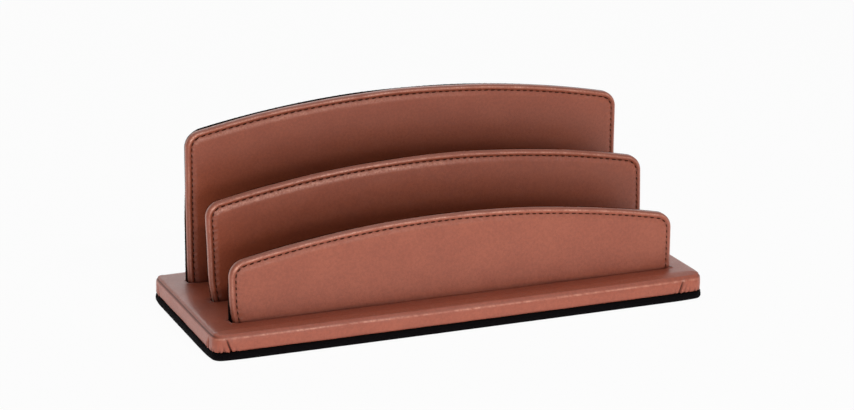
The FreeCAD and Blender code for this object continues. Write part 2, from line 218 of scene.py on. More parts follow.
@dataclass(frozen=True)
class Skin:
    """Points and faces of one side of a sheet, still in its plan.

    Attributes:
        column: Border point that each point belongs to, or -1 in the core.
        row: Row that each point belongs to, or -1 in the core.
        plan: Flat place of each core point, and the border point of the others.
        faces: Arrays of faces, one array for each number of corners.
    """

    column: Array
    row: Array
    plan: Array
    faces: list

    @property
    def core(self) -> Array:
        """Whether each point belongs to the core."""
        return self.row < 0

    def read(self, rows: Sequence[Row], name: str, in_core: Union[Array, float]) -> Array:
        """One value of each point's row, and another in the core."""
        values = np.array([getattr(row, name) for row in rows])
        return np.where(self.core, in_core, values[self.row])

    def carried(self, *values: Array) -> list[Array]:
        """Values of each point's border point, and 0 in the core."""
        return [np.where(self.core, 0.0, value[self.column]) for value in values]


def strips(inner: Array, outer: Array, inner_fine: bool, outer_fine: bool, ratio: int) -> list:
    """Faces between two neighbouring rows of point numbers.

    Args:
        inner: Point numbers of the row nearer the core.
        outer: Point numbers of the next row out.
        inner_fine: Whether the inner row has every border point.
        outer_fine: Whether the outer row has them.
        ratio: Fine points for each coarse one.

    Returns:
        Arrays of faces. Where a coarse row meets a fine one, a face has ratio + 3 corners.
    """
    if outer_fine and not inner_fine and ratio > 1:
        last = len(inner) - 1
        edge = [outer[step : step + last * ratio : ratio] for step in range(ratio)]
        corners = [inner[:-1], *edge, outer[ratio::ratio], inner[1:]]
        return [np.stack(corners, axis=1)]
    quads = np.stack([inner[:-1], outer[:-1], outer[1:], inner[1:]], axis=1)
    fans = quads[:, 0] == quads[:, 3]
    return [quads[~fans], quads[fans][:, :3]]


def carry(layout: Layout, rows: Sequence[Row], keep: Union[Array, None] = None) -> Skin:
    """Carries rows of points along a layout's border and joins them to its core.

    Args:
        layout: The plan.
        rows: Rows from the core outwards, the coarse ones first.
        keep: Which of the core's faces stay, where some are cut out.

    Returns:
        The skin, whose core points come first.
    """
    core_count = len(layout.core)
    columns = [np.full(core_count, -1)]
    numbers = [np.full(core_count, -1)]
    plans = [layout.core]
    core_faces = layout.core_faces if keep is None else layout.core_faces[keep]
    faces = [core_faces]
    fine_columns = np.arange(len(layout.base))
    inner = layout.border
    inner_fine = layout.ratio == 1
    start = core_count
    for number, row in enumerate(rows):
        taken = fine_columns if row.fine else fine_columns[:: layout.ratio]
        outer = start + np.arange(len(taken))
        joined_inner = np.append(inner, inner[0]) if layout.closed else inner
        joined_outer = np.append(outer, outer[0]) if layout.closed else outer
        faces += strips(joined_inner, joined_outer, inner_fine, row.fine, layout.ratio)
        columns.append(taken)
        numbers.append(np.full(len(taken), number))
        plans.append(layout.base[taken])
        inner = outer
        inner_fine = row.fine or layout.ratio == 1
        start += len(taken)
    return Skin(np.concatenate(columns), np.concatenate(numbers), np.concatenate(plans), faces)


def close_shell(outer: Array, inner: Array, faces: Sequence[Array]) -> tuple[Array, list]:
    """Closes two matching skins into a solid sheet.

    The inner skin has the outer one's faces turned over, and a quad joins the two along every
    edge that only one face has.

    Args:
        outer: Points of the outer skin.
        inner: Points of the inner skin, in the same order.
        faces: Faces of the outer skin, as arrays.

    Returns:
        All the points, and the faces with their outsides outwards.
    """
    count = len(outer)
    starts = np.concatenate([part.ravel() for part in faces])
    ends = np.concatenate([np.roll(part, -1, axis=1).ravel() for part in faces])
    there = starts.astype(np.int64) * count + ends
    back = ends.astype(np.int64) * count + starts
    free = ~np.isin(there, back)
    rim = np.stack([ends[free], starts[free], starts[free] + count, ends[free] + count], axis=1)
    turned = [part[:, ::-1] + count for part in faces]
    return np.concatenate([outer, inner]), [*faces, *turned, rim]


def without_loose(
    points: Array, faces: Sequence[Array], values: dict[str, Array]
) -> tuple[Array, list, dict[str, Array]]:
    """Points that some face has, with the faces numbered anew and the values of those points."""
    used = np.unique(np.concatenate([part.ravel() for part in faces]))
    fresh = np.zeros(len(points), int)
    fresh[used] = np.arange(len(used))
    kept = {key: numbers[used] for key, numbers in values.items()}
    return points[used], [fresh[part] for part in faces], kept


def marks(wear: Array, shade: Array) -> dict[str, Array]:
    """Worn colour with its painted highlight, and painted shade, of a sheet's outer skin, with none
    for the inner one.
    """
    none = np.zeros(len(wear))
    return {"wear": np.append(wear, none), "shade": np.append(shade, none)}


def volume_of(points: Array, faces: Sequence[Array]) -> float:
    """Signed volume of a closed mesh, the sum of one sixth of each triangle's triple product."""
    total = 0.0
    for part in faces:
        first = points[part[:, 0]]
        for corner in range(1, part.shape[1] - 1):
            side = np.cross(points[part[:, corner]], points[part[:, corner + 1]])
            total += float((first * side).sum()) / 6.0
    return total


def add_object(name: str, data: bpy.types.ID) -> bpy.types.Object:
    """Puts a mesh, a lamp or a camera in the scene."""
    made = bpy.data.objects.new(name, data)
    bpy.context.scene.collection.objects.link(made)
    return made


def make_piece(
    name: str, points: Array, faces: Sequence[Array], values: dict[str, Array]
) -> bpy.types.Object:
    """Writes a closed mesh, given in millimetres, as an object at the origin.

    Args:
        name: The piece's name.
        points: Its points.
        faces: Arrays of faces, one array for each number of corners.
        values: Named numbers, one for each point, that its material reads.

    Returns:
        The object, with its faces outwards.
    """
    faces = [part for part in faces if len(part)]
    if volume_of(points, faces) < 0.0:
        faces = [part[:, ::-1] for part in faces]
    corners = np.concatenate([part.ravel() for part in faces]).astype(np.int32)
    totals = np.concatenate([np.full(len(part), part.shape[1]) for part in faces])
    starts = np.concatenate([[0], np.cumsum(totals)[:-1]]).astype(np.int32)
    mesh = bpy.data.meshes.new(name)
    mesh.vertices.add(len(points))
    mesh.vertices.foreach_set("co", (points * MM).astype(np.float32).ravel())
    mesh.loops.add(len(corners))
    mesh.loops.foreach_set("vertex_index", corners)
    mesh.polygons.add(len(totals))
    mesh.polygons.foreach_set("loop_start", starts)
    mesh.polygons.foreach_set("use_smooth", np.full(len(totals), True))
    for key, numbers in values.items():
        layer = mesh.attributes.new(key, "FLOAT", "POINT")
        layer.data.foreach_set("value", np.asarray(numbers, np.float32))
    mesh.update(calc_edges=True)
    mesh.validate()
    return add_object(name, mesh)


def hand_over(
    piece: bpy.types.Object, material: bpy.types.Material, node: str
) -> None:
    """Gives a piece its material, slot and body, and hides the imported node that it stands for."""
    piece.data.materials.append(material)
    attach(piece, "root")
    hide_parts(node)
    mesh = piece.data
    log.info("%s: %d points, %d faces", piece.name, len(mesh.vertices), len(mesh.polygons))


# Finishes


def tint(red: int, green: int, blue: int) -> tuple[float, float, float, float]:
    """Colour from its three values of 0 to 255 as they show on a screen."""
    shown = np.array([red, green, blue]) / 255.0
    linear = np.where(shown <= 0.04045, shown / 12.92, ((shown + 0.055) / 1.055) ** 2.4)
    return (*(float(part) for part in linear), 1.0)


class Recipe:
    """Node tree of a material or of the surroundings, with short calls for the usual nodes."""

    def __init__(self, owner: bpy.types.ID, output: str = "OutputMaterial") -> None:
        """Starts an empty tree with an output."""
        self.owner = owner
        self.owner.use_nodes = True
        self.tree = self.owner.node_tree
        self.tree.nodes.clear()
        self.output = self.add(output, {})

    @classmethod
    def named(cls, name: str) -> "Recipe":
        """Starts a new material."""
        return cls(bpy.data.materials.new(name))

    def add(self, kind: str, inputs: dict, **settings: object) -> bpy.types.Node:
        """Adds a node.

        Args:
            kind: The node's type, without the ShaderNode in front.
            inputs: What goes into its sockets, by name or number: another socket or a value.
            **settings: The node's own properties.

        Returns:
            The node.
        """
        node = self.tree.nodes.new(f"ShaderNode{kind}")
        for key, value in settings.items():
            setattr(node, key, value)
        for key, value in inputs.items():
            if isinstance(value, bpy.types.NodeSocket):
                self.tree.links.new(value, node.inputs[key])
            else:
                node.inputs[key].default_value = value
        return node

    def math(self, operation: str, first: Value, second: Value = 0.0, clamp: bool = False) -> Value:
        """Result of one sum, product or other operation on two numbers."""
        node = self.add("Math", {0: first, 1: second}, operation=operation, use_clamp=clamp)
        return node.outputs[0]

    def spread(
        self, value: Value, from_low: float, from_high: float, low: float, high: float
    ) -> Value:
        """Number moved from one range into another, smoothly and kept inside it."""
        inputs = {"Value": value, 1: from_low, 2: from_high, 3: low, 4: high}
        return self.add("MapRange", inputs, interpolation_type="SMOOTHSTEP").outputs[0]

    def blend(self, share: Value, first: Value, second: Value) -> Value:
        """Colour part of the way from the first to the second."""
        return self.add("Mix", {0: share, 6: first, 7: second}, data_type="RGBA").outputs[2]

    def noise(
        self, place: Value, scale: float, detail: float = 3.0, roughness: float = 0.55
    ) -> Value:
        """Cloudy pattern with that many features to the metre."""
        inputs = {"Vector": place, "Scale": scale, "Detail": detail, "Roughness": roughness}
        return self.add("TexNoise", inputs).outputs["Fac"]

    def cells(self, place: Value, scale: float, feature: str) -> Value:
        """Distance in a pattern of cells, that many to the metre."""
        node = self.add("TexVoronoi", {"Vector": place, "Scale": scale}, feature=feature)
        return node.outputs["Distance"]

    def place(self) -> Value:
        """Place on the piece, in metres."""
        return self.add("TexCoord", {}).outputs["Object"]

    def value(self, name: str) -> Value:
        """Number that the piece's mesh holds at each point."""
        return self.add("Attribute", {}, attribute_name=name).outputs["Fac"]

    def bump(
        self, height: Value, depth: float, strength: float, under: Union[Value, None] = None
    ) -> Value:
        """Normal of a relief of that depth in metres, over another relief where one is given."""
        inputs = {"Height": height, "Distance": depth, "Strength": strength}
        if under is not None:
            inputs["Normal"] = under
        return self.add("Bump", inputs).outputs[0]

    def seen(self) -> Value:
        """One where the camera, a reflection or a view through something meets the surface."""
        path = self.add("LightPath", {})
        either = self.math("MAXIMUM", path.outputs["Is Camera Ray"], path.outputs["Is Glossy Ray"])
        return self.math("MAXIMUM", either, path.outputs["Is Transmission Ray"])

    def finish(self, shader: Value) -> bpy.types.ID:
        """Joins the shader to the output and returns the tree's owner."""
        self.tree.links.new(shader, self.output.inputs["Surface"])
        return self.owner

    def surface(self, inputs: dict) -> bpy.types.Material:
        """Finishes the material with one Principled shader."""
        return self.finish(self.add("BsdfPrincipled", inputs).outputs[0])


@dataclass(frozen=True)
class Leather:
    """Smooth cover leather with a fine grain, with painted highlights on its ridges and painted
    shade in its seams.

    It reads two numbers from the mesh: a lighter worn colour on the ridges, which is also painted
    there as their highlight, and painted shade in seams, needle holes, folds and slits.

    Attributes:
        name: The material's name.
        body: Colour of most of the leather.
        deep: Colour of its darker patches.
        worn_and_highlight_tint: Lighter colour of worn ridges, also painted on them as their
            highlight.
        streak_and_shade_tint: Dark colour of the fine streaks and the grain's valleys, and of the
        painted shade in seams, needle holes, folds and slits.
        grain_count: Pebbles of the grain to the metre.
        pore_count: Pores to the metre.
        mottle_count: Patches to the metre.
        streak_count: Fine streaks to the metre.
        fibre_count: Fibres to the metre.
        wave_count: Broad waves of the surface to the metre.
        wave_depth: Depth of these waves, in metres.
        grain_depth: Depth of the grain, in metres.
        roughness: How dull it is.
        specular: How strongly it mirrors.
        coat: Share of its thin clear coat.
        coat_roughness: How dull that coat is.
    """

    name: str = "leather_finish"
    body: tuple = tint(153, 76, 50)
    deep: tuple = tint(147, 71, 46)
    worn_and_highlight_tint: tuple = tint(222, 160, 138)
    streak_and_shade_tint: tuple = tint(70, 26, 14)
    grain_count: float = 1350.0
    pore_count: float = 2900.0
    mottle_count: float = 55.0
    streak_count: float = 620.0
    fibre_count: float = 900.0
    wave_count: float = 130.0
    wave_depth: float = 0.00045
    grain_depth: float = 0.00009
    roughness: float = 0.31
    specular: float = 0.36
    coat: float = 0.08
    coat_roughness: float = 0.20

    def make(self) -> bpy.types.Material:
        """Cells of a Voronoi pattern make the grain, and cloudy noise the mottling."""
        mix = Recipe.named(self.name)
        place = mix.place()
        edge = mix.cells(place, self.grain_count, "DISTANCE_TO_EDGE")
        pebble = mix.spread(edge, 0.02, 0.22, 0.0, 1.0)
        pores = mix.spread(mix.cells(place, self.pore_count, "F1"), 0.05, 0.35, 0.0, 1.0)
        mottle = mix.noise(place, self.mottle_count, 3.0)
        fibre = mix.noise(place, self.fibre_count, 1.0, 0.5)
        wear = mix.value("wear")
        shade = mix.value("shade")

        colour = mix.blend(mix.spread(mottle, 0.32, 0.68, 0.0, 1.0), self.deep, self.body)
        speckle = mix.math("MULTIPLY", mix.spread(fibre, 0.35, 0.62, 1.0, 0.0), 0.22)
        colour = mix.blend(speckle, colour, self.deep)
        streaks = mix.noise(place, self.streak_count, 2.0, 0.6)
        colour = mix.blend(mix.spread(streaks, 0.3, 0.7, 0.0, 0.17), colour, self.streak_and_shade_tint)
        valley = mix.math("MULTIPLY", mix.math("SUBTRACT", 1.0, pebble), 0.12)
        colour = mix.blend(valley, colour, self.streak_and_shade_tint)
        # Painted highlight, partly worn colour: the lighter colour lies where the highlights fall
        # on the ridges.
        worn_highlight_share = mix.math("MULTIPLY", wear, mix.spread(fibre, 0.25, 0.75, 0.35, 1.0), clamp=True)
        colour = mix.blend(worn_highlight_share, colour, self.worn_and_highlight_tint)
        # Painted shade: seams, needle holes, folds and slits darken towards the dark colour.
        colour = mix.blend(mix.math("MULTIPLY", shade, 1.0, clamp=True), colour, self.streak_and_shade_tint)

        rough = mix.spread(mottle, 0.3, 0.7, self.roughness + 0.05, self.roughness - 0.01)
        rough = mix.math("SUBTRACT", rough, mix.math("MULTIPLY", wear, 0.14))
        rough = mix.math("ADD", rough, mix.math("MULTIPLY", shade, 0.25), clamp=True)

        broad = mix.bump(mix.noise(place, self.wave_count, 2.0), self.wave_depth, 0.20)
        fine = mix.math("MULTIPLY", pores, 0.3)
        height = mix.math("ADD", mix.math("MULTIPLY", pebble, 0.7), fine)
        normal = mix.bump(height, self.grain_depth, 0.65, broad)
        return mix.surface({
            "Base Color": colour,
            "Roughness": rough,
            "Normal": normal,
            "Specular IOR Level": self.specular,
            "Coat Weight": self.coat,
            "Coat Roughness": self.coat_roughness,
        })


@dataclass(frozen=True)
class Velveteen:
    """Short black pile, brushed unevenly, with a faint sheen.

    Attributes:
        name: The material's name.
        low: Colour between the tufts.
        high: Colour of the tufts.
        pile_count: Tufts to the metre.
        brush_count: Strokes of the brush to the metre.
        brush_depth: Depth of these strokes, in metres.
        pile_depth: Depth of the pile, in metres.
        sheen: Share of its sheen.
        sheen_roughness: How widely the sheen spreads.
        sheen_tint: Colour of the sheen.
    """

    name: str = "velveteen_finish"
    low: tuple = tint(3, 2, 3)
    high: tuple = tint(19, 15, 17)
    pile_count: float = 2600.0
    brush_count: float = 170.0
    brush_depth: float = 0.0004
    pile_depth: float = 0.00035
    sheen: float = 0.02
    sheen_roughness: float = 0.45
    sheen_tint: tuple = tint(150, 140, 145)

    def make(self) -> bpy.types.Material:
        """Fine noise makes the tufts, and stretched noise the strokes of the brush."""
        mix = Recipe.named(self.name)
        place = mix.place()
        tufts = mix.noise(place, self.pile_count, 2.0, 0.7)
        stretched = mix.add("Mapping", {"Vector": place, "Scale": (0.35, 1.0, 1.0)}).outputs[0]
        strokes = mix.noise(stretched, self.brush_count, 3.0)
        share = mix.math("MULTIPLY", mix.spread(tufts, 0.35, 0.7, 0.0, 1.0), strokes)
        colour = mix.blend(share, self.low, self.high)
        rough = mix.spread(strokes, 0.3, 0.7, 0.88, 1.0)
        normal = mix.bump(strokes, self.brush_depth, 0.35)
        normal = mix.bump(tufts, self.pile_depth, 0.8, normal)
        return mix.surface({
            "Base Color": colour,
            "Roughness": rough,
            "Normal": normal,
            "Specular IOR Level": 0.05,
            "Sheen Weight": self.sheen,
            "Sheen Roughness": self.sheen_roughness,
            "Sheen Tint": self.sheen_tint,
        })


@dataclass(frozen=True)
class Thread:
    """Dark waxed sewing thread of three plies twisted together.

    Attributes:
        dark: Colour between the plies.
        light: Colour on them.
        plies: Number of plies.
        fuzz_count: Fibres to the metre.
        ply_depth: Depth between the plies, in metres.
    """

    dark: tuple = tint(50, 22, 13)
    light: tuple = tint(92, 48, 32)
    plies: float = 3.0
    fuzz_count: float = 6000.0
    ply_depth: float = 0.00012

    def make(self) -> bpy.types.Material:
        """A sine of the turn round the thread and the way along it makes the plies."""
        mix = Recipe.named("thread_finish")
        map_node = mix.add("UVMap", {}, uv_map="Thread")
        parts = mix.add("SeparateXYZ", {"Vector": map_node.outputs[0]})
        along = mix.math("MULTIPLY", parts.outputs[0], 2.0 * math.pi * self.plies)
        round_it = mix.math("MULTIPLY", parts.outputs[1], 2.0 * math.pi * self.plies)
        wave = mix.math("SINE", mix.math("ADD", along, round_it))
        ply = mix.spread(wave, -1.0, 1.0, 0.0, 1.0)
        fuzz = mix.noise(mix.place(), self.fuzz_count, 2.0)
        colour = mix.blend(mix.math("MULTIPLY", ply, fuzz), self.dark, self.light)
        rough = mix.spread(fuzz, 0.3, 0.7, 0.62, 0.8)
        return mix.surface({
            "Base Color": colour,
            "Roughness": rough,
            "Normal": mix.bump(ply, self.ply_depth, 0.8),
            "Specular IOR Level": 0.1,
        })


@dataclass(frozen=True)
class PressedBoard:
    """Grey-brown board pressed from paper and wood fibres.

    Attributes:
        name: The material's name.
        body: Colour of most of the board.
        fleck: Colour of the dark flecks.
        pale: Colour of the pale fibres.
        fibre_count: Fibres to the metre.
        fleck_count: Flecks to the metre.
        fibre_depth: Depth of the fibres, in metres.
    """

    name: str
    body: tuple = tint(142, 128, 108)
    fleck: tuple = tint(92, 80, 66)
    pale: tuple = tint(176, 164, 146)
    fibre_count: float = 1500.0
    fleck_count: float = 420.0
    fibre_depth: float = 0.00012

    def make(self) -> bpy.types.Material:
        """Stretched noise makes the fibres, and cells make the flecks."""
        mix = Recipe.named(self.name)
        place = mix.place()
        grain = mix.add("Mapping", {"Vector": place, "Scale": (0.25, 1.0, 1.0)}).outputs[0]
        fibres = mix.noise(grain, self.fibre_count, 5.0, 0.7)
        clouds = mix.noise(place, 90.0, 3.0)
        spots = mix.cells(place, self.fleck_count, "F1")
        flecks = mix.spread(spots, 0.05, 0.16, 1.0, 0.0)
        colour = mix.blend(mix.spread(fibres, 0.35, 0.65, 0.0, 1.0), self.body, self.pale)
        colour = mix.blend(mix.math("MULTIPLY", clouds, 0.35), colour, self.body)
        colour = mix.blend(mix.math("MULTIPLY", flecks, 0.5), colour, self.fleck)
        return mix.surface({
            "Base Color": colour,
            "Roughness": mix.spread(fibres, 0.3, 0.7, 0.78, 0.95),
            "Normal": mix.bump(fibres, self.fibre_depth, 0.6),
            "Specular IOR Level": 0.25,
        })


@dataclass(frozen=True)
class Wadding:
    """Thin pale padding with tangled fibres.

    Attributes:
        pale: Colour of most of the fibres.
        dull: Colour between them.
        fibre_count: Fibres to the metre.
        fibre_depth: Depth of the tangle, in metres.
    """

    pale: tuple = tint(206, 200, 188)
    dull: tuple = tint(168, 160, 148)
    fibre_count: float = 1800.0
    fibre_depth: float = 0.0003

    def make(self) -> bpy.types.Material:
        """Two layers of noise at fibre scale make the tangle."""
        mix = Recipe.named("padding_finish")
        place = mix.place()
        tangle = mix.noise(place, self.fibre_count, 6.0, 0.75)
        clouds = mix.noise(place, 140.0, 2.0)
        colour = mix.blend(mix.spread(tangle, 0.35, 0.65, 0.0, 1.0), self.dull, self.pale)
        colour = mix.blend(mix.math("MULTIPLY", clouds, 0.3), colour, self.dull)
        return mix.surface({
            "Base Color": colour,
            "Roughness": mix.spread(tangle, 0.3, 0.7, 0.9, 1.0),
            "Normal": mix.bump(tangle, self.fibre_depth, 0.7),
            "Specular IOR Level": 0.1,
        })


# Dividers


@dataclass(frozen=True)
class Arch:
    """Outline of a divider above the top of the base, in millimetres.

    The sides are straight, the crown is an arc, and the top corners are arcs that touch both.

    Attributes:
        crest: Height of the crown's middle above the base.
        width: From side to side.
        rise: Height of the crown above its own ends.
        corner: Radius of the top corners.
        foot: Level of the divider's lower end, in its mortise.
        taper: How far a side draws in at the slit.
        taper_height: Height over which it draws in.
    """

    crest: float
    width: float = 264.0
    rise: float = 14.8
    corner: float = 9.8
    foot: float = -7.2
    taper: float = 1.4
    taper_height: float = 16.0

    @property
    def half(self) -> float:
        """Half the width of the core, inside the corners."""
        return self.width / 2.0 - self.corner

    @property
    def crown(self) -> float:
        """Radius of the crown."""
        return ((self.width / 2.0) ** 2 + self.rise**2) / (2.0 * self.rise)

    def core_top(self, x: Array) -> Array:
        """Level of the core's top, on the crown's circle drawn smaller by the corner radius."""
        return self.crest - self.crown + np.sqrt((self.crown - self.corner) ** 2 - x**2)

    def draw_in(self, z: Array) -> Array:
        """How far a side has drawn in at a level, on an arc that starts at the taper's top."""
        radius = (self.taper_height**2 + self.taper**2) / (2.0 * self.taper)
        fall = np.clip(self.taper_height - z, 0.0, None)
        return radius - np.sqrt(radius**2 - fall**2)

    def layout(self, step: float, ratio: int) -> Layout:
        """Plan of a sheet of this outline.

        The core is a grid of x and of the share of the height. The border runs up the right
        side, round the corner as a fan about the core's corner, along the crown and down the
        left side.

        Args:
            step: Distance between border points, in millimetres.
            ratio: Border points for each that meets the core.

        Returns:
            The plan in x and z.
        """
        half = self.half
        shoulder = float(self.core_top(np.array(half)))
        middle = self.crest - self.crown
        joint = math.atan2(shoulder - middle, half)
        coarse = step * ratio
        up = math.ceil((shoulder - self.foot) / coarse)
        across = math.ceil(2.0 * half / coarse)
        turn = math.ceil(self.corner * joint / coarse)

        xs = np.linspace(-half, half, across + 1)
        share = np.linspace(0.0, 1.0, up + 1)
        grid_x = np.repeat(xs[:, None], up + 1, axis=1)
        grid_z = self.foot + share * (self.core_top(xs)[:, None] - self.foot)
        number = np.arange(grid_x.size).reshape(grid_x.shape)

        side_z = np.linspace(self.foot, shoulder, up * ratio + 1)
        turn_to = np.linspace(0.0, joint, turn * ratio + 1)
        crown_x = np.linspace(half, -half, across * ratio + 1)
        crown_z = self.core_top(crown_x)
        ones = np.ones_like(side_z)
        right = np.stack([half * ones, side_z, ones, 0.0 * ones], axis=1)
        fan = np.stack([np.full_like(turn_to, half), np.full_like(turn_to, shoulder)], axis=1)
        fan = np.concatenate([fan, np.stack([np.cos(turn_to), np.sin(turn_to)], axis=1)], axis=1)
        reach = self.crown - self.corner
        crown = np.stack([crown_x, crown_z, crown_x / reach, (crown_z - middle) / reach], axis=1)
        mirror = np.array([-1.0, 1.0, -1.0, 1.0])
        border = [right, fan[1:], crown[1:], (fan * mirror)[::-1][1:], (right * mirror)[::-1][1:]]
        line = np.concatenate(border)
        met = np.concatenate([
            number[across, :],
            np.full(turn, number[across, up]),
            number[:-1, up][::-1],
            np.full(turn, number[0, up]),
            number[0, :-1][::-1],
        ])
        core = np.stack([grid_x.ravel(), grid_z.ravel()], axis=1)
        return Layout(line[:, :2], line[:, 2:], core, grid_quads(number), met, ratio, False)


@dataclass(frozen=True)
class Seam:
    """Machine seam round a divider, whose stitches are shorter down the sides than on the crown.

    Attributes:
        inset: Distance from the divider's edge, in millimetres.
        side_pitch: Length of a stitch with its gap, down the sides.
        crown_pitch: The same along the crown.
    """

    inset: float = 3.2
    side_pitch: float = 3.45
    crown_pitch: float = 4.1

    def counted(self, layout: Layout, arch: Arch) -> tuple[Array, Array]:
        """Place along the seam and number of stitches up to it, for every border point.

        The number grows by the distance over the local pitch. It is 0 where the seam leaves the
        base on the right and a whole number where it meets the base on the left.

        Args:
            layout: Plan of the divider.
            arch: Its outline.

        Returns:
            Distances in millimetres, and stitch numbers with their fractions.
        """
        line = layout.base + layout.out * (arch.corner - self.inset)
        steps = np.hypot(*np.diff(line, axis=0).T)
        along = np.concatenate([[0.0], np.cumsum(steps)])
        on_crown = ramp(layout.out[:, 1], 0.2, 0.95)
        pitch = self.side_pitch + (self.crown_pitch - self.side_pitch) * on_crown
        rate = 2.0 / (pitch[1:] + pitch[:-1])
        count = np.concatenate([[0.0], np.cumsum(steps * rate)])
        middle = len(count) // 2
        start = np.interp(0.0, line[:middle, 1], count[:middle])
        end = np.interp(0.0, line[middle:, 1][::-1], count[middle:][::-1])
        whole = max(1.0, round(end - start))
        return along, (count - start) * whole / (end - start)


@dataclass(frozen=True)
class Divider:
    """One divider: a leather front turned round the edges, a velveteen lining and a seam.

    Attributes:
        name: Its name in the model.
        crest: Height of its crown above the base, in millimetres.
        face: Place of its front face along Y.
        seed: Number that chooses its unevenness.
        lean: Rise of its top along X, as it was glued in by hand.
        set_in: How far its left and its right side stand inside their places, in millimetres.
        foot_in: How much further in each side stands at the foot than at the corners.
        leather_taper: Share of the outline's taper that each of the leather's sides follows.
        lining_taper: Share of it that each of the lining's sides follows.
        proud: How far the lining stands above the leather on the left of the crown.
        sunk: How far the lining stays inside the leather's edge elsewhere.
        side_proud: How far it stands outside the left edge, near the corner and at the foot.
        seam_highlight: Strength of the painted highlight, a lighter and glossier colour, just
            inside the
        seam on the left of the crown.
        taper_band: Distances from the middle between which the taper sets in.
        set_band: Distances from the middle between which the setting in does.
        base_top: Level of the base's top.
        leather_thick: Thickness of the leather.
        core_back: How far behind the front face the board ends.
        cover_back: How far behind it the leather ends that is turned onto the back.
        lining_back: How far behind it the lining ends.
        turned_width: Width of the leather turned onto the back.
        front_round: Rounding of the front edge.
        face_insets: Distances from the edge of the rows on the leather's face.
        edge_turns: Turns of the rows over the front edge, in degrees from the face.
        lining_insets: Distances from the edge of the rows on the lining's face.
        seam_dip: How far the leather dips to the seam.
        channel_depth: Depth of the seam's own channel.
        pucker_depth: Depth of the pucker at each needle hole.
        fold_depth: Depth of the folds that the thread pulls.
        uneven_depth: Unevenness of the padded face.
        lining_dip: How far the lining dips to the seam.
        lining_dent: Depth of the seam's channel in it.
        lining_pucker: Depth of its puckers.
        nap_depth: Unevenness of its face.
        fuzz_depth: Unevenness of its edge.
        leather_plain: Outermost rows of the leather that its face's relief does not reach.
        lining_plain: The same for the lining.
        seam_highlight_span: Places across where that painted highlight starts to fade, and where it
        ends. The dip to the seam grows shallower over the same span.
        thread_radius: Radius of a stitch at its middle.
        thread_sides: Sides of a stitch's tube.
        thread_rings: Rings of points along it.
        thread_span: Its two ends, as shares of the seam's step.
        thread_jitter: The most that an end is off, as such a share.
        thread_slant: How far its ends lie on either side of the seam.
        thread_low: Lowest level of an end above the base.
        thread_sunk: Depth of its ends behind the front plane.
        thread_rise: How far its middle rises out of the seam.
        back_sunk: The depth on the lining's side.
        back_rise: The rise on that side.
        step: Distance between border points.
        ratio: Border points for each that meets the core.
    """

    name: str
    crest: float
    face: float
    seed: int
    lean: float = 0.0
    set_in: tuple = (0.0, 0.0)
    foot_in: tuple = (0.0, 0.0)
    leather_taper: tuple = (1.0, 1.0)
    lining_taper: tuple = (0.0, 0.0)
    proud: float = 0.0
    sunk: float = 0.0
    side_proud: tuple = (0.0, 0.0)
    seam_highlight: float = 0.0
    taper_band: tuple = (96.0, 122.0)
    set_band: tuple = (60.0, 124.0)
    base_top: float = 15.2
    leather_thick: float = 1.2
    core_back: float = 4.0
    cover_back: float = 4.6
    lining_back: float = 5.6
    turned_width: float = 7.0
    front_round: float = 2.2
    face_insets: tuple = (
        7.2, 6.4, 5.8, 5.3, 4.9, 4.5, 4.15, 3.85, 3.6,
        3.4, 3.2, 3.0, 2.8, 2.6, 2.45, 2.35, 2.27, 2.2,
    )
    edge_turns: tuple = (10.0, 19.0, 27.0, 35.0, 45.0, 57.0, 72.0)
    lining_insets: tuple = (7.2, 6.0, 5.2, 4.6, 4.1, 3.7, 3.4, 3.1, 2.8, 2.4, 1.9, 1.3, 0.8)
    seam_dip: float = 0.90
    channel_depth: float = 0.08
    pucker_depth: float = 0.11
    fold_depth: float = 0.13
    uneven_depth: float = 0.045
    lining_dip: float = 0.16
    lining_dent: float = 0.26
    lining_pucker: float = 0.05
    nap_depth: float = 0.04
    fuzz_depth: float = 0.07
    leather_plain: int = 10
    lining_plain: int = 4
    seam_highlight_span: tuple = (-30.0, 60.0)
    thread_radius: float = 0.40
    thread_sides: int = 6
    thread_rings: int = 8
    thread_span: tuple = (0.18, 0.82)
    thread_jitter: float = 0.03
    thread_slant: float = 0.10
    thread_low: float = 0.3
    thread_sunk: float = 0.90
    thread_rise: float = 0.45
    back_sunk: float = 0.52
    back_rise: float = 0.42
    step: float = 0.5
    ratio: int = 3

    @property
    def arch(self) -> Arch:
        """The divider's outline."""
        return Arch(self.crest)

    def settle(self, x: Array, z: Array, follow: tuple) -> tuple[Array, Array]:
        """Draws the sides in at the foot, sets them and leans the top, for every part.

        Args:
            x: Places across.
            z: Levels above the base.
            follow: Share of the taper that the left and the right side follow.

        Returns:
            The moved places and levels.
        """
        arch = self.arch
        weight = ramp(np.abs(x), *self.taper_band)
        drawn = x - np.sign(x) * np.where(x < 0.0, *follow) * weight * arch.draw_in(z)
        low = np.clip(1.0 - z / (0.8 * self.crest), 0.0, 1.0)
        left, right = (top + foot * low for top, foot in zip(self.set_in, self.foot_in))
        drawn = drawn + left * ramp(-x, *self.set_band) - right * ramp(x, *self.set_band)
        raised = z + self.lean * x * ramp(z, 0.0, self.crest)
        return drawn, raised

    def in_frame(self, x: Array, y: Array, z: Array) -> Array:
        """Points of the whole object's frame from the divider's own."""
        return np.stack([x, y + self.face, z + self.base_top], axis=-1)

    def spread_out(self, rows: Sequence[Row], skin: Skin) -> tuple[Array, Array]:
        """Inset from the divider's edge and level of each point of a skin."""
        arch = self.arch
        beside = arch.half - np.abs(skin.plan[:, 0])
        below = arch.core_top(np.clip(skin.plan[:, 0], -arch.half, arch.half)) - skin.plan[:, 1]
        inset = arch.corner - skin.read(rows, "reach", -np.minimum(beside, below))
        return inset, skin.read(rows, "level", rows[0].level)

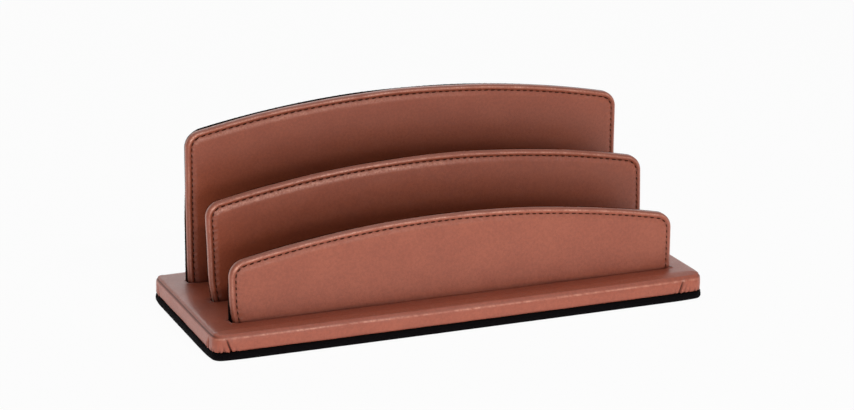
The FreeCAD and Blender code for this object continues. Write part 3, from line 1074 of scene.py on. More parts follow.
    def flat_place(self, layout: Layout, skin: Skin, inset: Array) -> tuple[Array, Array]:
        """Flat place of each point: the border point plus its direction times the reach."""
        reach = np.where(skin.core, 0.0, self.arch.corner - inset)
        place = skin.plan + layout.out[skin.column] * reach[:, None]
        return place[:, 0], place[:, 1]

    def leather_rows(self) -> list[Row]:
        """Rows of the leather from the face over the front edge and onto the back."""
        corner, back = self.arch.corner, self.cover_back
        rows = [Row(corner - COARSE_INSET, 0.0, fine=False)]
        rows += [Row(corner - inset, 0.0) for inset in self.face_insets]
        for angle in np.radians(self.edge_turns):
            across = self.front_round * (1.0 - math.sin(angle))
            rows.append(Row(corner - across, self.front_round * (1.0 - math.cos(angle))))
        turned = ((0.0, 2.9), (0.03, 3.8), (0.22, 4.38), (0.7, back), (3.6, back))
        rows += [Row(corner - inset, level) for inset, level in turned]
        return [*rows, Row(corner - self.turned_width, back)]

    def front_relief(self, gap: Array, count: Array, up: Array, x: Array, z: Array) -> Array:
        """Depth of the leather's face behind its front plane.

        The leather dips to the seam as a bell on the edge's side and as an exponential on the
        padded side, with a narrow bell for the channel itself. Cosine puckers sink at each needle
        hole, and uneven ripples add the folds that the thread pulls.

        Args:
            gap: Distance inwards from the seam.
            count: Number of stitches up to each point.
            up: How far the nearest edge faces up, 0 on the sides and 1 on the crest.
            x: Places across.
            z: Levels above the base.

        Returns:
            Depths in millimetres, none below zero.
        """
        sink = self.seam_dip - 0.24 * ramp(x, *self.seam_highlight_span)
        sink = sink * (0.58 + 0.42 * ramp(up, 0.1, 0.8))
        inside = sink * (1.0 - ramp(gap, -0.3, 3.2))
        outside = 0.98 * sink * bell(np.clip(gap, None, 0.0), 0.80)
        swell = np.where(gap > 0.0, inside, outside)
        channel = self.channel_depth * bell(gap, 0.4)
        pucker = self.pucker_depth * np.cos(2.0 * math.pi * count) * bell(gap, 1.2)
        pull = self.fold_depth * ripple(count * 3.8, gap * 0.5, Wave.SEAM_FOLDS, self.seed)
        pull = pull * bell(gap - 1.4, 1.2)
        uneven = self.uneven_depth * (1.7 + ripple(x, z, Wave.DIVIDER_FACE, self.seed))
        uneven = uneven * ramp(gap, 0.0, 6.0)
        return np.clip(swell + channel + pucker + pull + uneven, 0.0, None)

    def leather(self, layout: Layout, seam: Seam, line: tuple, finish: bpy.types.Material) -> None:
        """Builds the leather: one skin in front, over the edge and behind, and one inside it.

        Args:
            layout: Plan of the divider.
            seam: The seam.
            line: Distance and stitch number at every border point.
            finish: The leather's material.
        """
        rows = self.leather_rows()
        skin = carry(layout, rows)
        core = skin.core
        inset, level = self.spread_out(rows, skin)
        travel, here, aside, up = skin.carried(*line, -layout.out[:, 0], layout.out[:, 1])
        on_face = core | (skin.row < len(rows) - self.leather_plain)
        wander = 0.10 * (1.0 + ripple(travel, 0.0 * travel, Wave.DIVIDER_EDGE, self.seed))
        wander = np.where(core, 0.0, wander * ramp(6.0 - inset, 0.0, 3.0))
        x, z = self.flat_place(layout, skin, inset + wander)
        gap = inset - seam.inset
        y = level + np.where(on_face, self.front_relief(gap, here, up, x, z), 0.0)
        side_x, side_z = self.settle(x, z, self.leather_taper)
        outer = self.in_frame(side_x, y, side_z)

        inner_x, inner_z = self.flat_place(layout, skin, soft_max(inset, self.leather_thick))
        inner_x, inner_z = self.settle(inner_x, inner_z, self.leather_taper)
        inner_y = soft_clip(level, self.leather_thick, self.core_back)
        inner = self.in_frame(inner_x, inner_y, inner_z)

        points, faces = close_shell(outer, inner, skin.faces)
        place, border = (inset, level, gap, x, z), (travel, here, aside, up)
        wear, shade = self.worn_highlight_and_shade(core, on_face, place, border)
        piece = make_piece(f"{self.name}_cover", points, faces, marks(wear, shade))
        hand_over(piece, finish, f"{self.name}_leather")

    def worn_highlight_and_shade(
        self, core: Array, on_face: Array, place: tuple, border: tuple
    ) -> tuple[Array, Array]:
        """Worn colour with painted highlights, and painted shade, of the leather.

        The lighter worn colour is laid as painted highlight in bells on the front edge's ridge, in
        patches just inside the seam, on the edge's upward face and on the top corners. Painted
        shade lies in the seam, at the needle holes, in a line along the edge and at the slit.

        Args:
            core: Whether each point belongs to the plan's core.
            on_face: Whether it belongs to the face.
            place: Inset, level, distance inwards from the seam, x and z of each point.
            border: Distance along the seam, stitch number, and how far left and up the edge faces.

        Returns:
            Worn colour with painted highlight, and painted shade, one of each for every point.
        """
        inset, level, gap, x, z = place
        travel, here, aside, up = border
        left, right = np.clip(aside, 0.0, 1.0), np.clip(-aside, 0.0, 1.0)
        # Painted highlight, partly worn colour: a lighter band along the front edge's ridge, weaker
        # on the sides.
        ridge = np.where(on_face | (level < 1.4), bell(inset - 1.15, 0.4), 0.0)
        patchy = 0.7 + 0.4 * ripple(travel, inset * 3.0, Wave.RUBBED_RIDGE, self.seed)
        wear = np.clip(ridge * patchy, 0.0, 1.0) * (0.9 - 0.6 * right - 0.4 * left)
        # Painted highlight: a lighter band just inside the seam on the left of the crown.
        seam_highlight_share = 0.7 + 0.25 * ripple(travel, gap * 2.0, Wave.RUBBED_SEAM, self.seed)
        seam_highlight_share = seam_highlight_share * bell(gap - 1.7, 1.1) * (1.0 - ramp(x, *self.seam_highlight_span)) * (up > 0.5)
        # Painted light on the upward face of the turned edge, and painted highlights on the top
        # corners.
        side = 0.34 * ramp(level, 1.5, 2.6) * (1.0 - ramp(level, 4.2, 4.5))
        corner_highlight = np.clip(2.0 * aside * up, 0.0, 1.0) ** 6 * bell(inset - 1.3, 0.6) * (level < 1.4)
        wear = wear + self.seam_highlight * seam_highlight_share + np.where(core, 0.0, side) + 0.8 * corner_highlight
        # Painted shade in the seam's channel and at each needle hole, and a painted dark line along
        # the crown's edge.
        hole = bell((here - np.round(here)) * 3.8, 0.5) * bell(gap, 0.5)
        shade = np.where(on_face, 0.12 * bell(gap + 0.3, 0.8) + 0.45 * hole, 0.0)
        stripe = np.clip(up, 0.0, 1.0) * bell(level - 0.95, 0.42) * (inset < 1.2)
        shade = shade + np.where(core, 0.0, 0.16 * stripe)
        # Painted shade along the foot, where the divider enters its slit.
        return wear, np.clip(shade + 0.5 * bell(z, 0.9) * (z > -2.0), 0.0, 1.0)

    def lining_stand(self, x: Array, z: Array, inset: Array) -> Array:
        """How far the lining stands above the leather's edge at each flat place."""
        high = ramp(z, self.crest * 0.55, self.crest * 0.8)
        across = ramp(-x, -10.0, 40.0) - 0.45 * ramp(x, 20.0, 90.0)
        stand = self.proud * high * across - self.sunk
        near_corner, near_foot = self.side_proud
        rise = ramp(z, self.crest * 0.35, self.crest * 0.65)
        beside = near_foot + (near_corner - near_foot) * rise
        stand = stand + (beside - stand) * ramp(-x, 122.0, 130.0)
        return stand * ramp(4.0 - inset, 0.0, 3.0)

    def lining(self, layout: Layout, seam: Seam, line: tuple, finish: bpy.types.Material) -> None:
        """Builds the lining: a pile face that swells from the seam, and a step in front of it.

        Args:
            layout: Plan of the divider.
            seam: The seam.
            line: Distance and stitch number at every border point.
            finish: The lining's material.
        """
        corner, back = self.arch.corner, self.lining_back
        rows = [Row(corner - COARSE_INSET, back, fine=False)]
        rows += [Row(corner - inset, back) for inset in self.lining_insets]
        edge = ((0.35, back - 0.06), (0.1, back - 0.25), (0.0, back - 0.5))
        rows += [Row(corner - inset, level) for inset, level in edge]
        rows.append(Row(corner - 0.02, self.cover_back + 0.12))
        skin = carry(layout, rows)
        core = skin.core
        inset, level = self.spread_out(rows, skin)
        travel, here = skin.carried(*line)
        stand = self.lining_stand(*self.flat_place(layout, skin, inset), inset)
        fuzz = ripple(travel, 9.0 * inset, Wave.LINING_EDGE, self.seed)
        fuzz = self.fuzz_depth * fuzz - 0.09
        stand = np.where(core, 0.0, stand + fuzz * (inset < 1.0))
        x, z = self.flat_place(layout, skin, inset - stand)
        gap = inset - seam.inset
        padded = np.exp(-np.clip(gap, 0.0, None) / 2.6)
        swell = self.lining_dip * np.where(gap > 0.0, padded, bell(gap, 0.9))
        pucker = self.lining_pucker * np.cos(2.0 * math.pi * here) * bell(gap, 1.1)
        dent = swell + self.lining_dent * bell(gap, 0.6) + pucker
        nap = self.nap_depth * (1.0 + ripple(x, z, Wave.LINING_FACE, self.seed))
        on_back = core | (skin.row < len(rows) - self.lining_plain)
        y = level - np.where(on_back, dent + nap * ramp(gap, 0.0, 4.0), 0.0)
        x, z = self.settle(x, z, self.lining_taper)
        outer = self.in_frame(x, y, z)

        inner_x, inner_z = self.flat_place(layout, skin, inset + 0.12 * bell(inset, 1.5))
        inner_x, inner_z = self.settle(inner_x, inner_z, self.lining_taper)
        raised = ramp(inset, self.turned_width + 0.2, self.turned_width + 1.0)
        inner_y = self.cover_back - (self.cover_back - self.core_back) * raised
        inner = self.in_frame(inner_x, inner_y, inner_z)
        points, faces = close_shell(outer, inner, [part[:, ::-1] for part in skin.faces])
        piece = make_piece(f"{self.name}_velveteen", points, faces, {})
        hand_over(piece, finish, f"{self.name}_lining")

    def thread_ends(
        self, layout: Layout, seam: Seam, count: Array, side: Side
    ) -> tuple[Array, Array]:
        """Flat places of the first and the last point of every stitch on one side."""
        line = layout.base + layout.out * (self.arch.corner - seam.inset)
        number = np.arange(int(count[-1]))
        rng = np.random.default_rng(SEED + self.seed + side.value)
        jitter = rng.uniform(-self.thread_jitter, self.thread_jitter, (2, len(number)))
        ends = []
        for edge, wobble in zip(self.thread_span, jitter):
            at = number + edge + wobble
            spot, away = (
                np.stack([np.interp(at, count, part) for part in values.T], axis=1)
                for values in (line, layout.out)
            )
            slant = self.thread_slant * (-side.value if edge < 0.5 else side.value)
            ends.append(spot + away * slant)
        start, end = ends
        keep = np.minimum(start[:, 1], end[:, 1]) > self.thread_low
        return start[keep], end[keep]

    def stitches(
        self, layout: Layout, seam: Seam, count: Array, side: Side
    ) -> tuple[Array, Array]:
        """Threads of one side of the seam, as closed tubes.

        Each thread runs straight between its two needle holes. Its middle bows out of the seam
        as one less the fourth power of the way along, and its radius narrows at the ends.

        Args:
            layout: Plan of the divider.
            seam: The seam.
            count: Stitch number at every border point.
            side: Side of the divider.

        Returns:
            Points as stitches by rings by sides, and UV places of the same shape.
        """
        start, end = self.thread_ends(layout, seam, count, side)
        way = np.linspace(-1.0, 1.0, self.thread_rings)
        middle = (start + end)[:, None] / 2.0
        half = (end - start)[:, None] / 2.0
        centre = middle + half * way[None, :, None]
        length = np.hypot(half[..., 0], half[..., 1])
        forward = half / length[..., None]
        across = np.stack([-forward[..., 1], forward[..., 0]], axis=-1)
        bow = 1.0 - np.abs(way) ** 4
        if side is Side.FRONT:
            depth = self.thread_sunk - self.thread_rise * bow
        else:
            depth = self.lining_back - self.back_sunk + self.back_rise * bow
        radius = self.thread_radius * (0.55 + 0.45 * np.sqrt(np.clip(1.0 - way**2, 0.0, 1.0)))
        angle = np.linspace(0.0, 2.0 * math.pi, self.thread_sides, endpoint=False)
        sway = radius[None, :, None] * np.cos(angle)
        lift = radius[None, :, None] * np.sin(angle) * side.value
        plan = centre[:, :, None, :] + across[:, :, None, :] * sway[..., None]
        x, z = self.settle(plan[..., 0], plan[..., 1], self.leather_taper)
        y = depth[None, :, None] + lift + 0.0 * x
        points = self.in_frame(x, y, z)
        map_u = np.broadcast_to((way * 1.6)[None, :, None], x.shape)
        map_v = np.broadcast_to((angle / (2.0 * math.pi))[None, None, :], x.shape)
        return points, np.stack([map_u, map_v], axis=-1)

    def stitching(
        self, layout: Layout, seam: Seam, count: Array, finish: bpy.types.Material
    ) -> None:
        """Builds all the threads of the seam, in front and behind, as one piece."""
        tubes, places, parts = [], [], []
        start = 0
        for side in Side:
            points, spots = self.stitches(layout, seam, count, side)
            number = np.arange(spots[..., 0].size).reshape(spots.shape[:3])
            after = np.roll(number, -1, axis=2)
            corners = [number[:, :-1], number[:, 1:], after[:, 1:], after[:, :-1]]
            walls = np.stack([part.ravel() for part in corners], axis=1)
            group = [walls, number[:, 0, ::-1], number[:, -1]]
            tubes.append(points.reshape(-1, 3))
            places.append(spots.reshape(-1, 2))
            if volume_of(tubes[-1], group) < 0.0:
                group = [faces[:, ::-1] for faces in group]
            parts += [faces + start for faces in group]
            start += number.size
        piece = make_piece(f"{self.name}_thread", np.concatenate(tubes), parts, {})
        layer = piece.data.uv_layers.new(name="Thread")
        corner_of = np.zeros(len(piece.data.loops), np.int32)
        piece.data.loops.foreach_get("vertex_index", corner_of)
        spots = np.concatenate(places)[corner_of]
        sizes = np.zeros(len(piece.data.polygons), np.int32)
        piece.data.polygons.foreach_get("loop_total", sizes)
        owner = np.repeat(np.arange(len(sizes)), sizes)
        highest = np.zeros(len(sizes))
        np.maximum.at(highest, owner, spots[:, 1])
        wraps = (highest[owner] > 0.75) & (spots[:, 1] < 0.1) & (sizes[owner] == 4)
        spots[wraps, 1] += 1.0
        layer.data.foreach_set("uv", spots.astype(np.float32).ravel())
        hand_over(piece, finish, f"{self.name}_stitching")

    def build(
        self, leather: bpy.types.Material, lining: bpy.types.Material, thread: bpy.types.Material
    ) -> None:
        """Builds and dresses the divider's three pieces."""
        seam = Seam()
        layout = self.arch.layout(self.step, self.ratio)
        line = seam.counted(layout, self.arch)
        self.leather(layout, seam, line, leather)
        self.lining(layout, seam, line, lining)
        self.stitching(layout, seam, line[1], thread)


# Base


@dataclass(frozen=True)
class Crease:
    """A fold where the leather is gathered round a corner of the base.

    Attributes:
        offset: Distance along the border from the corner's middle, in millimetres.
        lean: How far it moves along the border for each millimetre up.
        depth: How far it sinks into the side.
        top: Height above the lower edge at which it fades out.
    """

    offset: float
    lean: float
    depth: float
    top: float


@dataclass(frozen=True)
class Slab:
    """Rounded rectangle that sheets of the base are laid out on.

    Attributes:
        half_x: Half the width of the core, in millimetres.
        half_y: Half its depth.
        corner: Radius of the plan's corners.
    """

    half_x: float
    half_y: float
    corner: float

    def layout(self, xs: Array, ys: Array, turn: int) -> Layout:
        """Plan of a sheet: a grid of the given lines, with a fan at each corner of the core.

        Args:
            xs: Rising places of the grid's lines across.
            ys: Rising places of its lines from front to back.
            turn: Border steps round each corner.

        Returns:
            The plan in x and y, whose border starts with the fan at the front right corner.
        """
        count_x, count_y = len(xs) - 1, len(ys) - 1
        grid_x, grid_y = np.meshgrid(xs, ys, indexing="ij")
        number = np.arange(grid_x.size).reshape(grid_x.shape)
        sides = [
            (number[count_x, :], (1.0, 0.0)),
            (number[::-1, count_y], (0.0, 1.0)),
            (number[0, ::-1], (-1.0, 0.0)),
            (number[:, 0], (0.0, -1.0)),
        ]
        met, out = [], []
        for quarter, (line, away) in enumerate(sides):
            fan = np.linspace(0.0, math.pi / 2, turn, endpoint=False)
            angle = math.radians(90.0 * (quarter - 1)) + fan
            met += [np.full(turn, line[0]), line[:-1]]
            out.append(np.stack([np.cos(angle), np.sin(angle)], axis=1))
            out.append(np.tile(away, (len(line) - 1, 1)))
        core = np.stack([grid_x.ravel(), grid_y.ravel()], axis=1)
        border = np.concatenate(met)
        return Layout(core[border], np.concatenate(out), core, grid_quads(number), border, 1, True)

    def place(
        self, layout: Layout, rows: Sequence[Row], skin: Skin, extra: Union[Array, float] = 0.0
    ) -> tuple[Array, Array]:
        """Flat place of each point, with something added to its reach outside the core."""
        reach = np.where(skin.core, 0.0, skin.read(rows, "reach", 0.0) + extra)
        pull = skin.read(rows, "pull", 0.0)
        shrink = np.stack([1.0 - pull / self.half_x, 1.0 - pull / self.half_y], axis=1)
        place = skin.plan * shrink + layout.out[skin.column] * reach[:, None]
        return place[:, 0], place[:, 1]

    def inside(self, layout: Layout, rows: Sequence[Row], skin: Skin, in_core: float) -> Array:
        """Points of a sheet's inner side, on the levels of its rows."""
        x, y = self.place(layout, rows, skin)
        return np.stack([x, y, skin.read(rows, "level", in_core)], axis=1)

    def travel(self, layout: Layout) -> tuple[Array, float]:
        """Distance along the edge of each border point, and the whole way round."""
        edge = layout.base + layout.out * self.corner
        steps = np.hypot(*(np.roll(edge, -1, axis=0) - edge).T)
        return np.concatenate([[0.0], np.cumsum(steps)[:-1]]), float(steps.sum())


@dataclass(frozen=True)
class Base:
    """The covered base: leather over a board, on a velveteen pad.

    Attributes:
        slab: Rounded rectangle that both sheets are laid out on.
        faces: Places of the dividers' front faces along Y, the front one first.
        divider_thick: Thickness of a divider, lining included.
        cover_thick: Its thickness without the lining.
        slit_half: Half the length of a slit.
        slit_gap: Room between a divider and its slit.
        slit_roll: How far the cover rolls down into a slit.
        top_uneven: Unevenness of the cover's top.
        cover_turn: Border steps round each corner of the cover.
        pad_turn: Border steps round each corner of the pad.
        feet: For each slit, how far its left and right ends lie from the middle, each with the
            divider's leather in it and with its lining.
        pad_height: Height of the pad.
        top: Level of the base's top.
        board_round: Rounding of the board's upper edge.
        front_line: Setback and drop of each row over the upper edge, in front and behind.
        end_line: The same at the two ends, whose roll is softer.
        core_stops: How many of these stops lie in the plan's core.
        brow_row: Row at which the top ends and the side starts.
        groove_row: Row in the middle of the groove along the two ends.
        proud: How far the side stands out.
        bow: How far the front edge bows forward in its middle.
        bow_band: Distances forward of the middle between which the bow sets in.
        cover_bow: Half-width over which the cover bows.
        pad_bow: Half-width over which the pad does.
        side_swell: How far the side swells between its edges.
        side_wave: Unevenness of the side.
        scallop: Height of the scallops along the lower edge, round the corners.
        side_levels: Levels of the rows down the cover's side, in millimetres.
        lower_round: Rounding of the cover's lower edge.
        leather_thick: Thickness of the leather.
        corner_draw: How far the cover is drawn in round its corners.
        groove_depth: Depth of the groove along the ends.
        turned_rows: Outermost rows, which are turned in underneath.
        edge_rows: Outermost rows that the scallops of the lower edge move.
        pad_margin: How far the pad stands out from the cover.
        pad_board_margin: How far the board in the pad stands out.
        pad_low_round: Rounding of the pad's lower edge.
        pad_round: Rounding of its upper edge.
        pad_draw: How far the pad is drawn in round its corners.
        pad_lumps: Unevenness of the pad's side.
        pad_lift: Unevenness of the pad's upper edge.
        pad_flat_rows: Innermost rows of the pad, flat underneath.
        velveteen_thick: Thickness of the velveteen.
        creases: Folds at every corner.
        crease_shifts: How far the outermost folds are moved at each corner, in millimetres.
    """

    slab: Slab = Slab(141.0, 53.0, 5.0)
    faces: tuple = (-42.6, -4.2, 32.0)
    divider_thick: float = 5.6
    cover_thick: float = 4.6
    slit_half: float = 132.15
    slit_gap: float = 0.15
    slit_roll: float = 0.75
    top_uneven: float = 0.05
    cover_turn: int = 22
    pad_turn: int = 14
    feet: tuple = (
        ((130.8, 132.15), (133.0, 132.85)),
        ((129.7, 130.1), (131.7, 132.15)),
        ((132.6, 133.3), (131.6, 132.15)),
    )
    pad_height: float = 4.8
    top: float = 15.2
    board_round: float = 2.0
    front_line: tuple = (
        (7.0, 0.0), (6.0, 0.10), (5.0, 0.30), (4.1, 0.55), (3.3, 0.80),
        (2.7, 0.99), (2.35, 1.10), (2.12, 1.18), (2.0, 1.26), (1.85, 1.42),
        (1.58, 1.72), (1.22, 2.18), (0.9, 2.64), (0.62, 3.09), (0.42, 3.46),
        (0.27, 3.80), (0.16, 4.2), (0.08, 4.8), (0.02, 5.5),
    )
    end_line: tuple = (
        (7.0, 0.0), (6.0, 0.01), (5.0, 0.05), (4.1, 0.11), (3.3, 0.19),
        (2.6, 0.31), (2.1, 0.46), (1.7, 0.66), (1.35, 0.92), (1.12, 1.16),
        (0.93, 1.40), (0.76, 1.64), (0.56, 1.95), (0.37, 2.32), (0.22, 2.75),
        (0.12, 3.25), (0.06, 3.85), (0.02, 4.6), (0.0, 5.5),
    )
    core_stops: int = 3
    brow_row: int = 5
    groove_row: float = 8.4
    proud: float = 0.45
    bow: float = 0.5
    bow_band: tuple = (46.0, 57.0)
    cover_bow: float = 146.6
    pad_bow: float = 148.0
    side_swell: float = 0.10
    side_wave: float = 0.10
    scallop: float = 0.62
    side_levels: tuple = (9.0, 8.4, 7.8, 7.2, 6.6, 6.0)
    lower_round: float = 0.6
    leather_thick: float = 1.2
    corner_draw: float = 0.55
    groove_depth: float = 0.30
    turned_rows: int = 2
    edge_rows: int = 6
    pad_margin: float = 1.5
    pad_board_margin: float = -0.15
    pad_low_round: float = 1.3
    pad_round: float = 2.0
    pad_draw: float = 1.0
    pad_lumps: float = 0.19
    pad_lift: float = 0.12
    pad_flat_rows: int = 3
    velveteen_thick: float = 0.8
    creases: tuple = (
        Crease(-13.4, 0.34, 1.05, 8.8),
        Crease(-10.8, 0.30, 0.34, 5.0),
        Crease(-17.0, 0.12, 0.22, 4.0),
        Crease(-7.6, 0.04, 0.30, 3.4),
        Crease(-4.4, -0.05, 0.36, 2.6),
        Crease(-1.4, 0.02, 0.32, 2.2),
        Crease(1.8, -0.05, 0.34, 2.6),
        Crease(4.6, -0.10, 0.34, 3.2),
        Crease(8.6, -0.20, 0.80, 7.4),
        Crease(11.6, -0.08, 0.36, 4.6),
    )
    crease_shifts: tuple = (-0.6, -1.5, 1.0, 5.4)

    def slits(self) -> list[tuple[float, float]]:
        """Front and back edge of each slit along Y."""
        gap = self.slit_gap
        return [(face - gap, face + self.divider_thick + gap) for face in self.faces]

    def sheet_layout(self) -> Layout:
        """Plan of the cover, with close lines at the ends, the corners and the slits' edges."""
        half_x, half_y = self.slab.half_x, self.slab.half_y
        stops_x = [(-half_x, 0.4), (-129.5, 0.4), (-124.0, 2.2)]
        stops_x += [(-place, step) for place, step in reversed(stops_x)]
        stops_y = [(-half_y, 0.45), (-half_y + 7.0, 0.6)]
        exact = []
        for near, far in self.slits():
            stops_y += [(near - 1.3, 0.35), (near, 0.22), (near + 1.2, 0.6), (far - 1.2, 0.6)]
            stops_y += [(far, 0.22), (far + 1.3, 0.35), (far + 5.0, 2.0)]
            stops_y += [(far + 24.0, 2.0), (far + 27.0, 1.2)]
            exact += [near, far]
        stops_y = [stop for stop in stops_y if stop[0] < half_y - 7.0]
        stops_y += [(half_y - 7.0, 0.6), (half_y, 0.45)]
        xs = graded(stops_x, (-self.slit_half, self.slit_half))
        ys = graded(stops_y, exact)
        return self.slab.layout(xs, ys, self.cover_turn)

    def uncut(self, layout: Layout) -> Array:
        """Whether each face of the plan's core lies outside the slits."""
        x, y = layout.core[layout.core_faces].mean(axis=1).T
        cut = np.zeros(len(x), bool)
        for near, far in self.slits():
            cut |= (y > near) & (y < far) & (np.abs(x) < self.slit_half)
        return ~cut

    def from_slits(self, x: Array, y: Array) -> tuple[Array, Array, Array]:
        """Distance from the nearest slit's edge, and how near a point is to a slit's ends.

        Args:
            x: Places across.
            y: Places from front to back.

        Returns:
            Distances outside the slits, nearness to an end, and nearness to its front corner.
        """
        distance = np.full(np.shape(x), FAR)
        end = np.zeros(np.shape(x))
        front = np.zeros(np.shape(x))
        for near, far in self.slits():
            middle, half = (near + far) / 2.0, (far - near) / 2.0
            over_x = np.clip(np.abs(x) - self.slit_half, 0.0, None)
            over_y = np.clip(np.abs(y - middle) - half, 0.0, None)
            away = np.hypot(over_x, over_y)
            distance = np.minimum(distance, away)
            beside = bell(np.clip(np.abs(x) - self.slit_half + 1.2, None, 0.0), 1.6)
            end = np.maximum(end, beside * bell(over_y, 2.0))
            front = np.maximum(front, beside * bell(y - near, 1.5))
        return distance, end, front

    def top_relief(self, x: Array, y: Array) -> tuple[Array, Array]:
        """Height added to the top of the cover, and the distance from the slits.

        The sheet rolls down into each slit as an exponential, swells as a bell round the slit's
        ends, most at the front corner, and is otherwise uneven by a gentle ripple.

        Args:
            x: Places across.
            y: Places from front to back.

        Returns:
            Heights, and distances outside the slits, in millimetres.
        """
        distance, end, front = self.from_slits(x, y)
        roll = -self.slit_roll * np.exp(-distance / 0.24)
        lip = (0.06 + 0.20 * end + 0.40 * front) * bell(distance - 0.7, 0.5)
        uneven = self.top_uneven * ripple(x, y, Wave.BASE_TOP)
        return roll + lip + uneven, distance

    def leather_rows(self) -> tuple[list[Row], list[Row]]:
        """Rows of the cover's outside, and the matching rows of its inside."""
        corner, low, wall = self.slab.corner, self.lower_round, self.leather_thick
        small = self.board_round
        outer, inner = [], []
        for setback, drop in self.front_line[self.core_stops :]:
            outer.append(Row(corner - setback, self.top - drop))
            if setback > wall + small:
                inner.append(Row(corner - setback, self.top - wall))
                continue
            angle = math.pi / 2 * min(1.0, (wall + small - setback + 0.1) / (wall + small - 0.3))
            reach = corner - wall - small + small * math.sin(angle)
            inner.append(Row(reach, self.top - wall - small + small * math.cos(angle)))
        bottom = self.pad_height
        for level in (*self.side_levels, bottom + low):
            outer.append(Row(corner, level))
            inner.append(Row(corner - wall, max(level, bottom + wall + 0.1)))
        for angle in np.radians([30.0, 60.0, 90.0]):
            across, down = 1.0 - math.cos(angle), math.sin(angle)
            outer.append(Row(corner - low * across, bottom + low * (1.0 - down)))
            inner.append(Row(corner - wall - 0.25 * across, bottom + wall + 0.08 * (1.0 - down)))
        outer.append(Row(4.0, bottom, 4.0))
        inner.append(Row(3.8, bottom + wall, 4.0))
        outer.append(Row(4.0, bottom, 11.0))
        inner.append(Row(4.0, bottom + wall, 11.0))
        return outer, inner

    def from_corners(self, layout: Layout) -> tuple[Array, Array]:
        """Distance along the border from the nearest corner's middle, and that corner's number."""
        along, total = self.slab.travel(layout)
        diagonal = np.abs(np.abs(layout.out[:, 0]) - np.abs(layout.out[:, 1])) < 0.5
        angle = np.degrees(np.arctan2(layout.out[:, 1], layout.out[:, 0]))
        offset = np.full(len(along), FAR)
        nearest = np.zeros(len(along), int)
        for number, wanted in enumerate((-45.0, 45.0, 135.0, -135.0)):
            turn = np.where(diagonal, np.abs(angle - wanted), FAR)
            gap = (along - along[turn.argmin()] + total / 2.0) % total - total / 2.0
            closer = np.abs(gap) < np.abs(offset)
            offset = np.where(closer, gap, offset)
            nearest = np.where(closer, number, nearest)
        return offset, nearest

    def gathers(self, offset: Array, corner: Array, height: Array) -> Array:
        """How far the folds sink into the side, each a narrow bell with a low ridge beside it.

        Args:
            offset: Distance along the border from the corner's middle.
            corner: Number of the corner.
            height: Height above the cover's lower edge.

        Returns:
            Depths in millimetres, below zero on the ridges.
        """
        sunk = np.zeros(np.shape(offset))
        turned = np.where(corner % 2 == 0, offset, -offset)
        for fold in self.creases:
            moved = np.array(self.crease_shifts)[corner] * (fold.offset < -10.0)
            uneven = 0.35 * np.sin(corner * 2.1 + fold.offset)
            spot = fold.offset + moved + fold.lean * height + uneven
            fade = 1.0 - ramp(height, fold.top * 0.45, fold.top)
            sunk += fold.depth * fade * bell(turned - spot, 0.5)
            sunk -= 0.42 * fold.depth * fade * bell(turned - spot - 1.05, 0.65)
        return sunk

    def roll(self, skin: Skin, facing: Array, setback: Array) -> tuple[Array, Array]:
        """Shape of the upper edge, which changes from the front's line to the ends' line.

        Args:
            skin: The cover's outer skin.
            facing: How far the nearest edge faces an end, 0 in front and behind.
            setback: Distance inwards from the edge.

        Returns:
            How far each point drops below its row's level, and how far it moves outwards.
        """
        stops, drops = np.array(self.front_line)[::-1].T
        end_stops, end_drops = np.array(self.end_line)[::-1].T
        rolled = (1.0 - facing) * np.interp(setback, stops, drops)
        rolled = rolled + facing * np.interp(setback, end_stops, end_drops)
        shaped = ~skin.core & (skin.row < len(stops) - self.core_stops)
        number = np.where(shaped, skin.row + self.core_stops, 0)
        lower = np.where(shaped, facing * (end_drops - drops)[::-1][number], 0.0)
        shift = np.where(shaped, facing * (stops - end_stops)[::-1][number], 0.0)
        return np.where(skin.core, rolled, 0.0) + lower, shift

    def pinched(self, x: Array, y: Array, on_top: Array) -> Array:
        """Places across, with the ends of the slits drawn in to the feet of the dividers."""
        drawn = np.zeros(len(x))
        for (near, far), ends in zip(self.slits(), self.feet):
            change = near + self.cover_thick
            before, behind = ramp(y, near - 1.6, near), ramp(y, change, change + 0.7)
            for sign, (leather, lining) in zip((-1.0, 1.0), ends):
                pull = (self.slit_half - leather) * before * (1.0 - behind)
                after = behind * (1.0 - ramp(y, far, far + 1.6))
                pull = pull + (self.slit_half - lining) * after
                drawn = drawn + np.where(x * sign > 0.0, pull, 0.0)
        pinch = drawn * bell(np.clip(np.abs(x) - self.slit_half, 0.0, None), 2.6)
        beyond = on_top & (np.abs(x) > self.slit_half - 0.01)
        return x - np.where(beyond, np.sign(x) * pinch, 0.0)

    def bowed(self, x: Array, y: Array, half: float, moved: Array) -> Array:
        """Places from front to back, with the front edge bowed forward over that half-width."""
        return y - self.bow * (1.0 - (x / half) ** 2) * ramp(-y, *self.bow_band) * moved

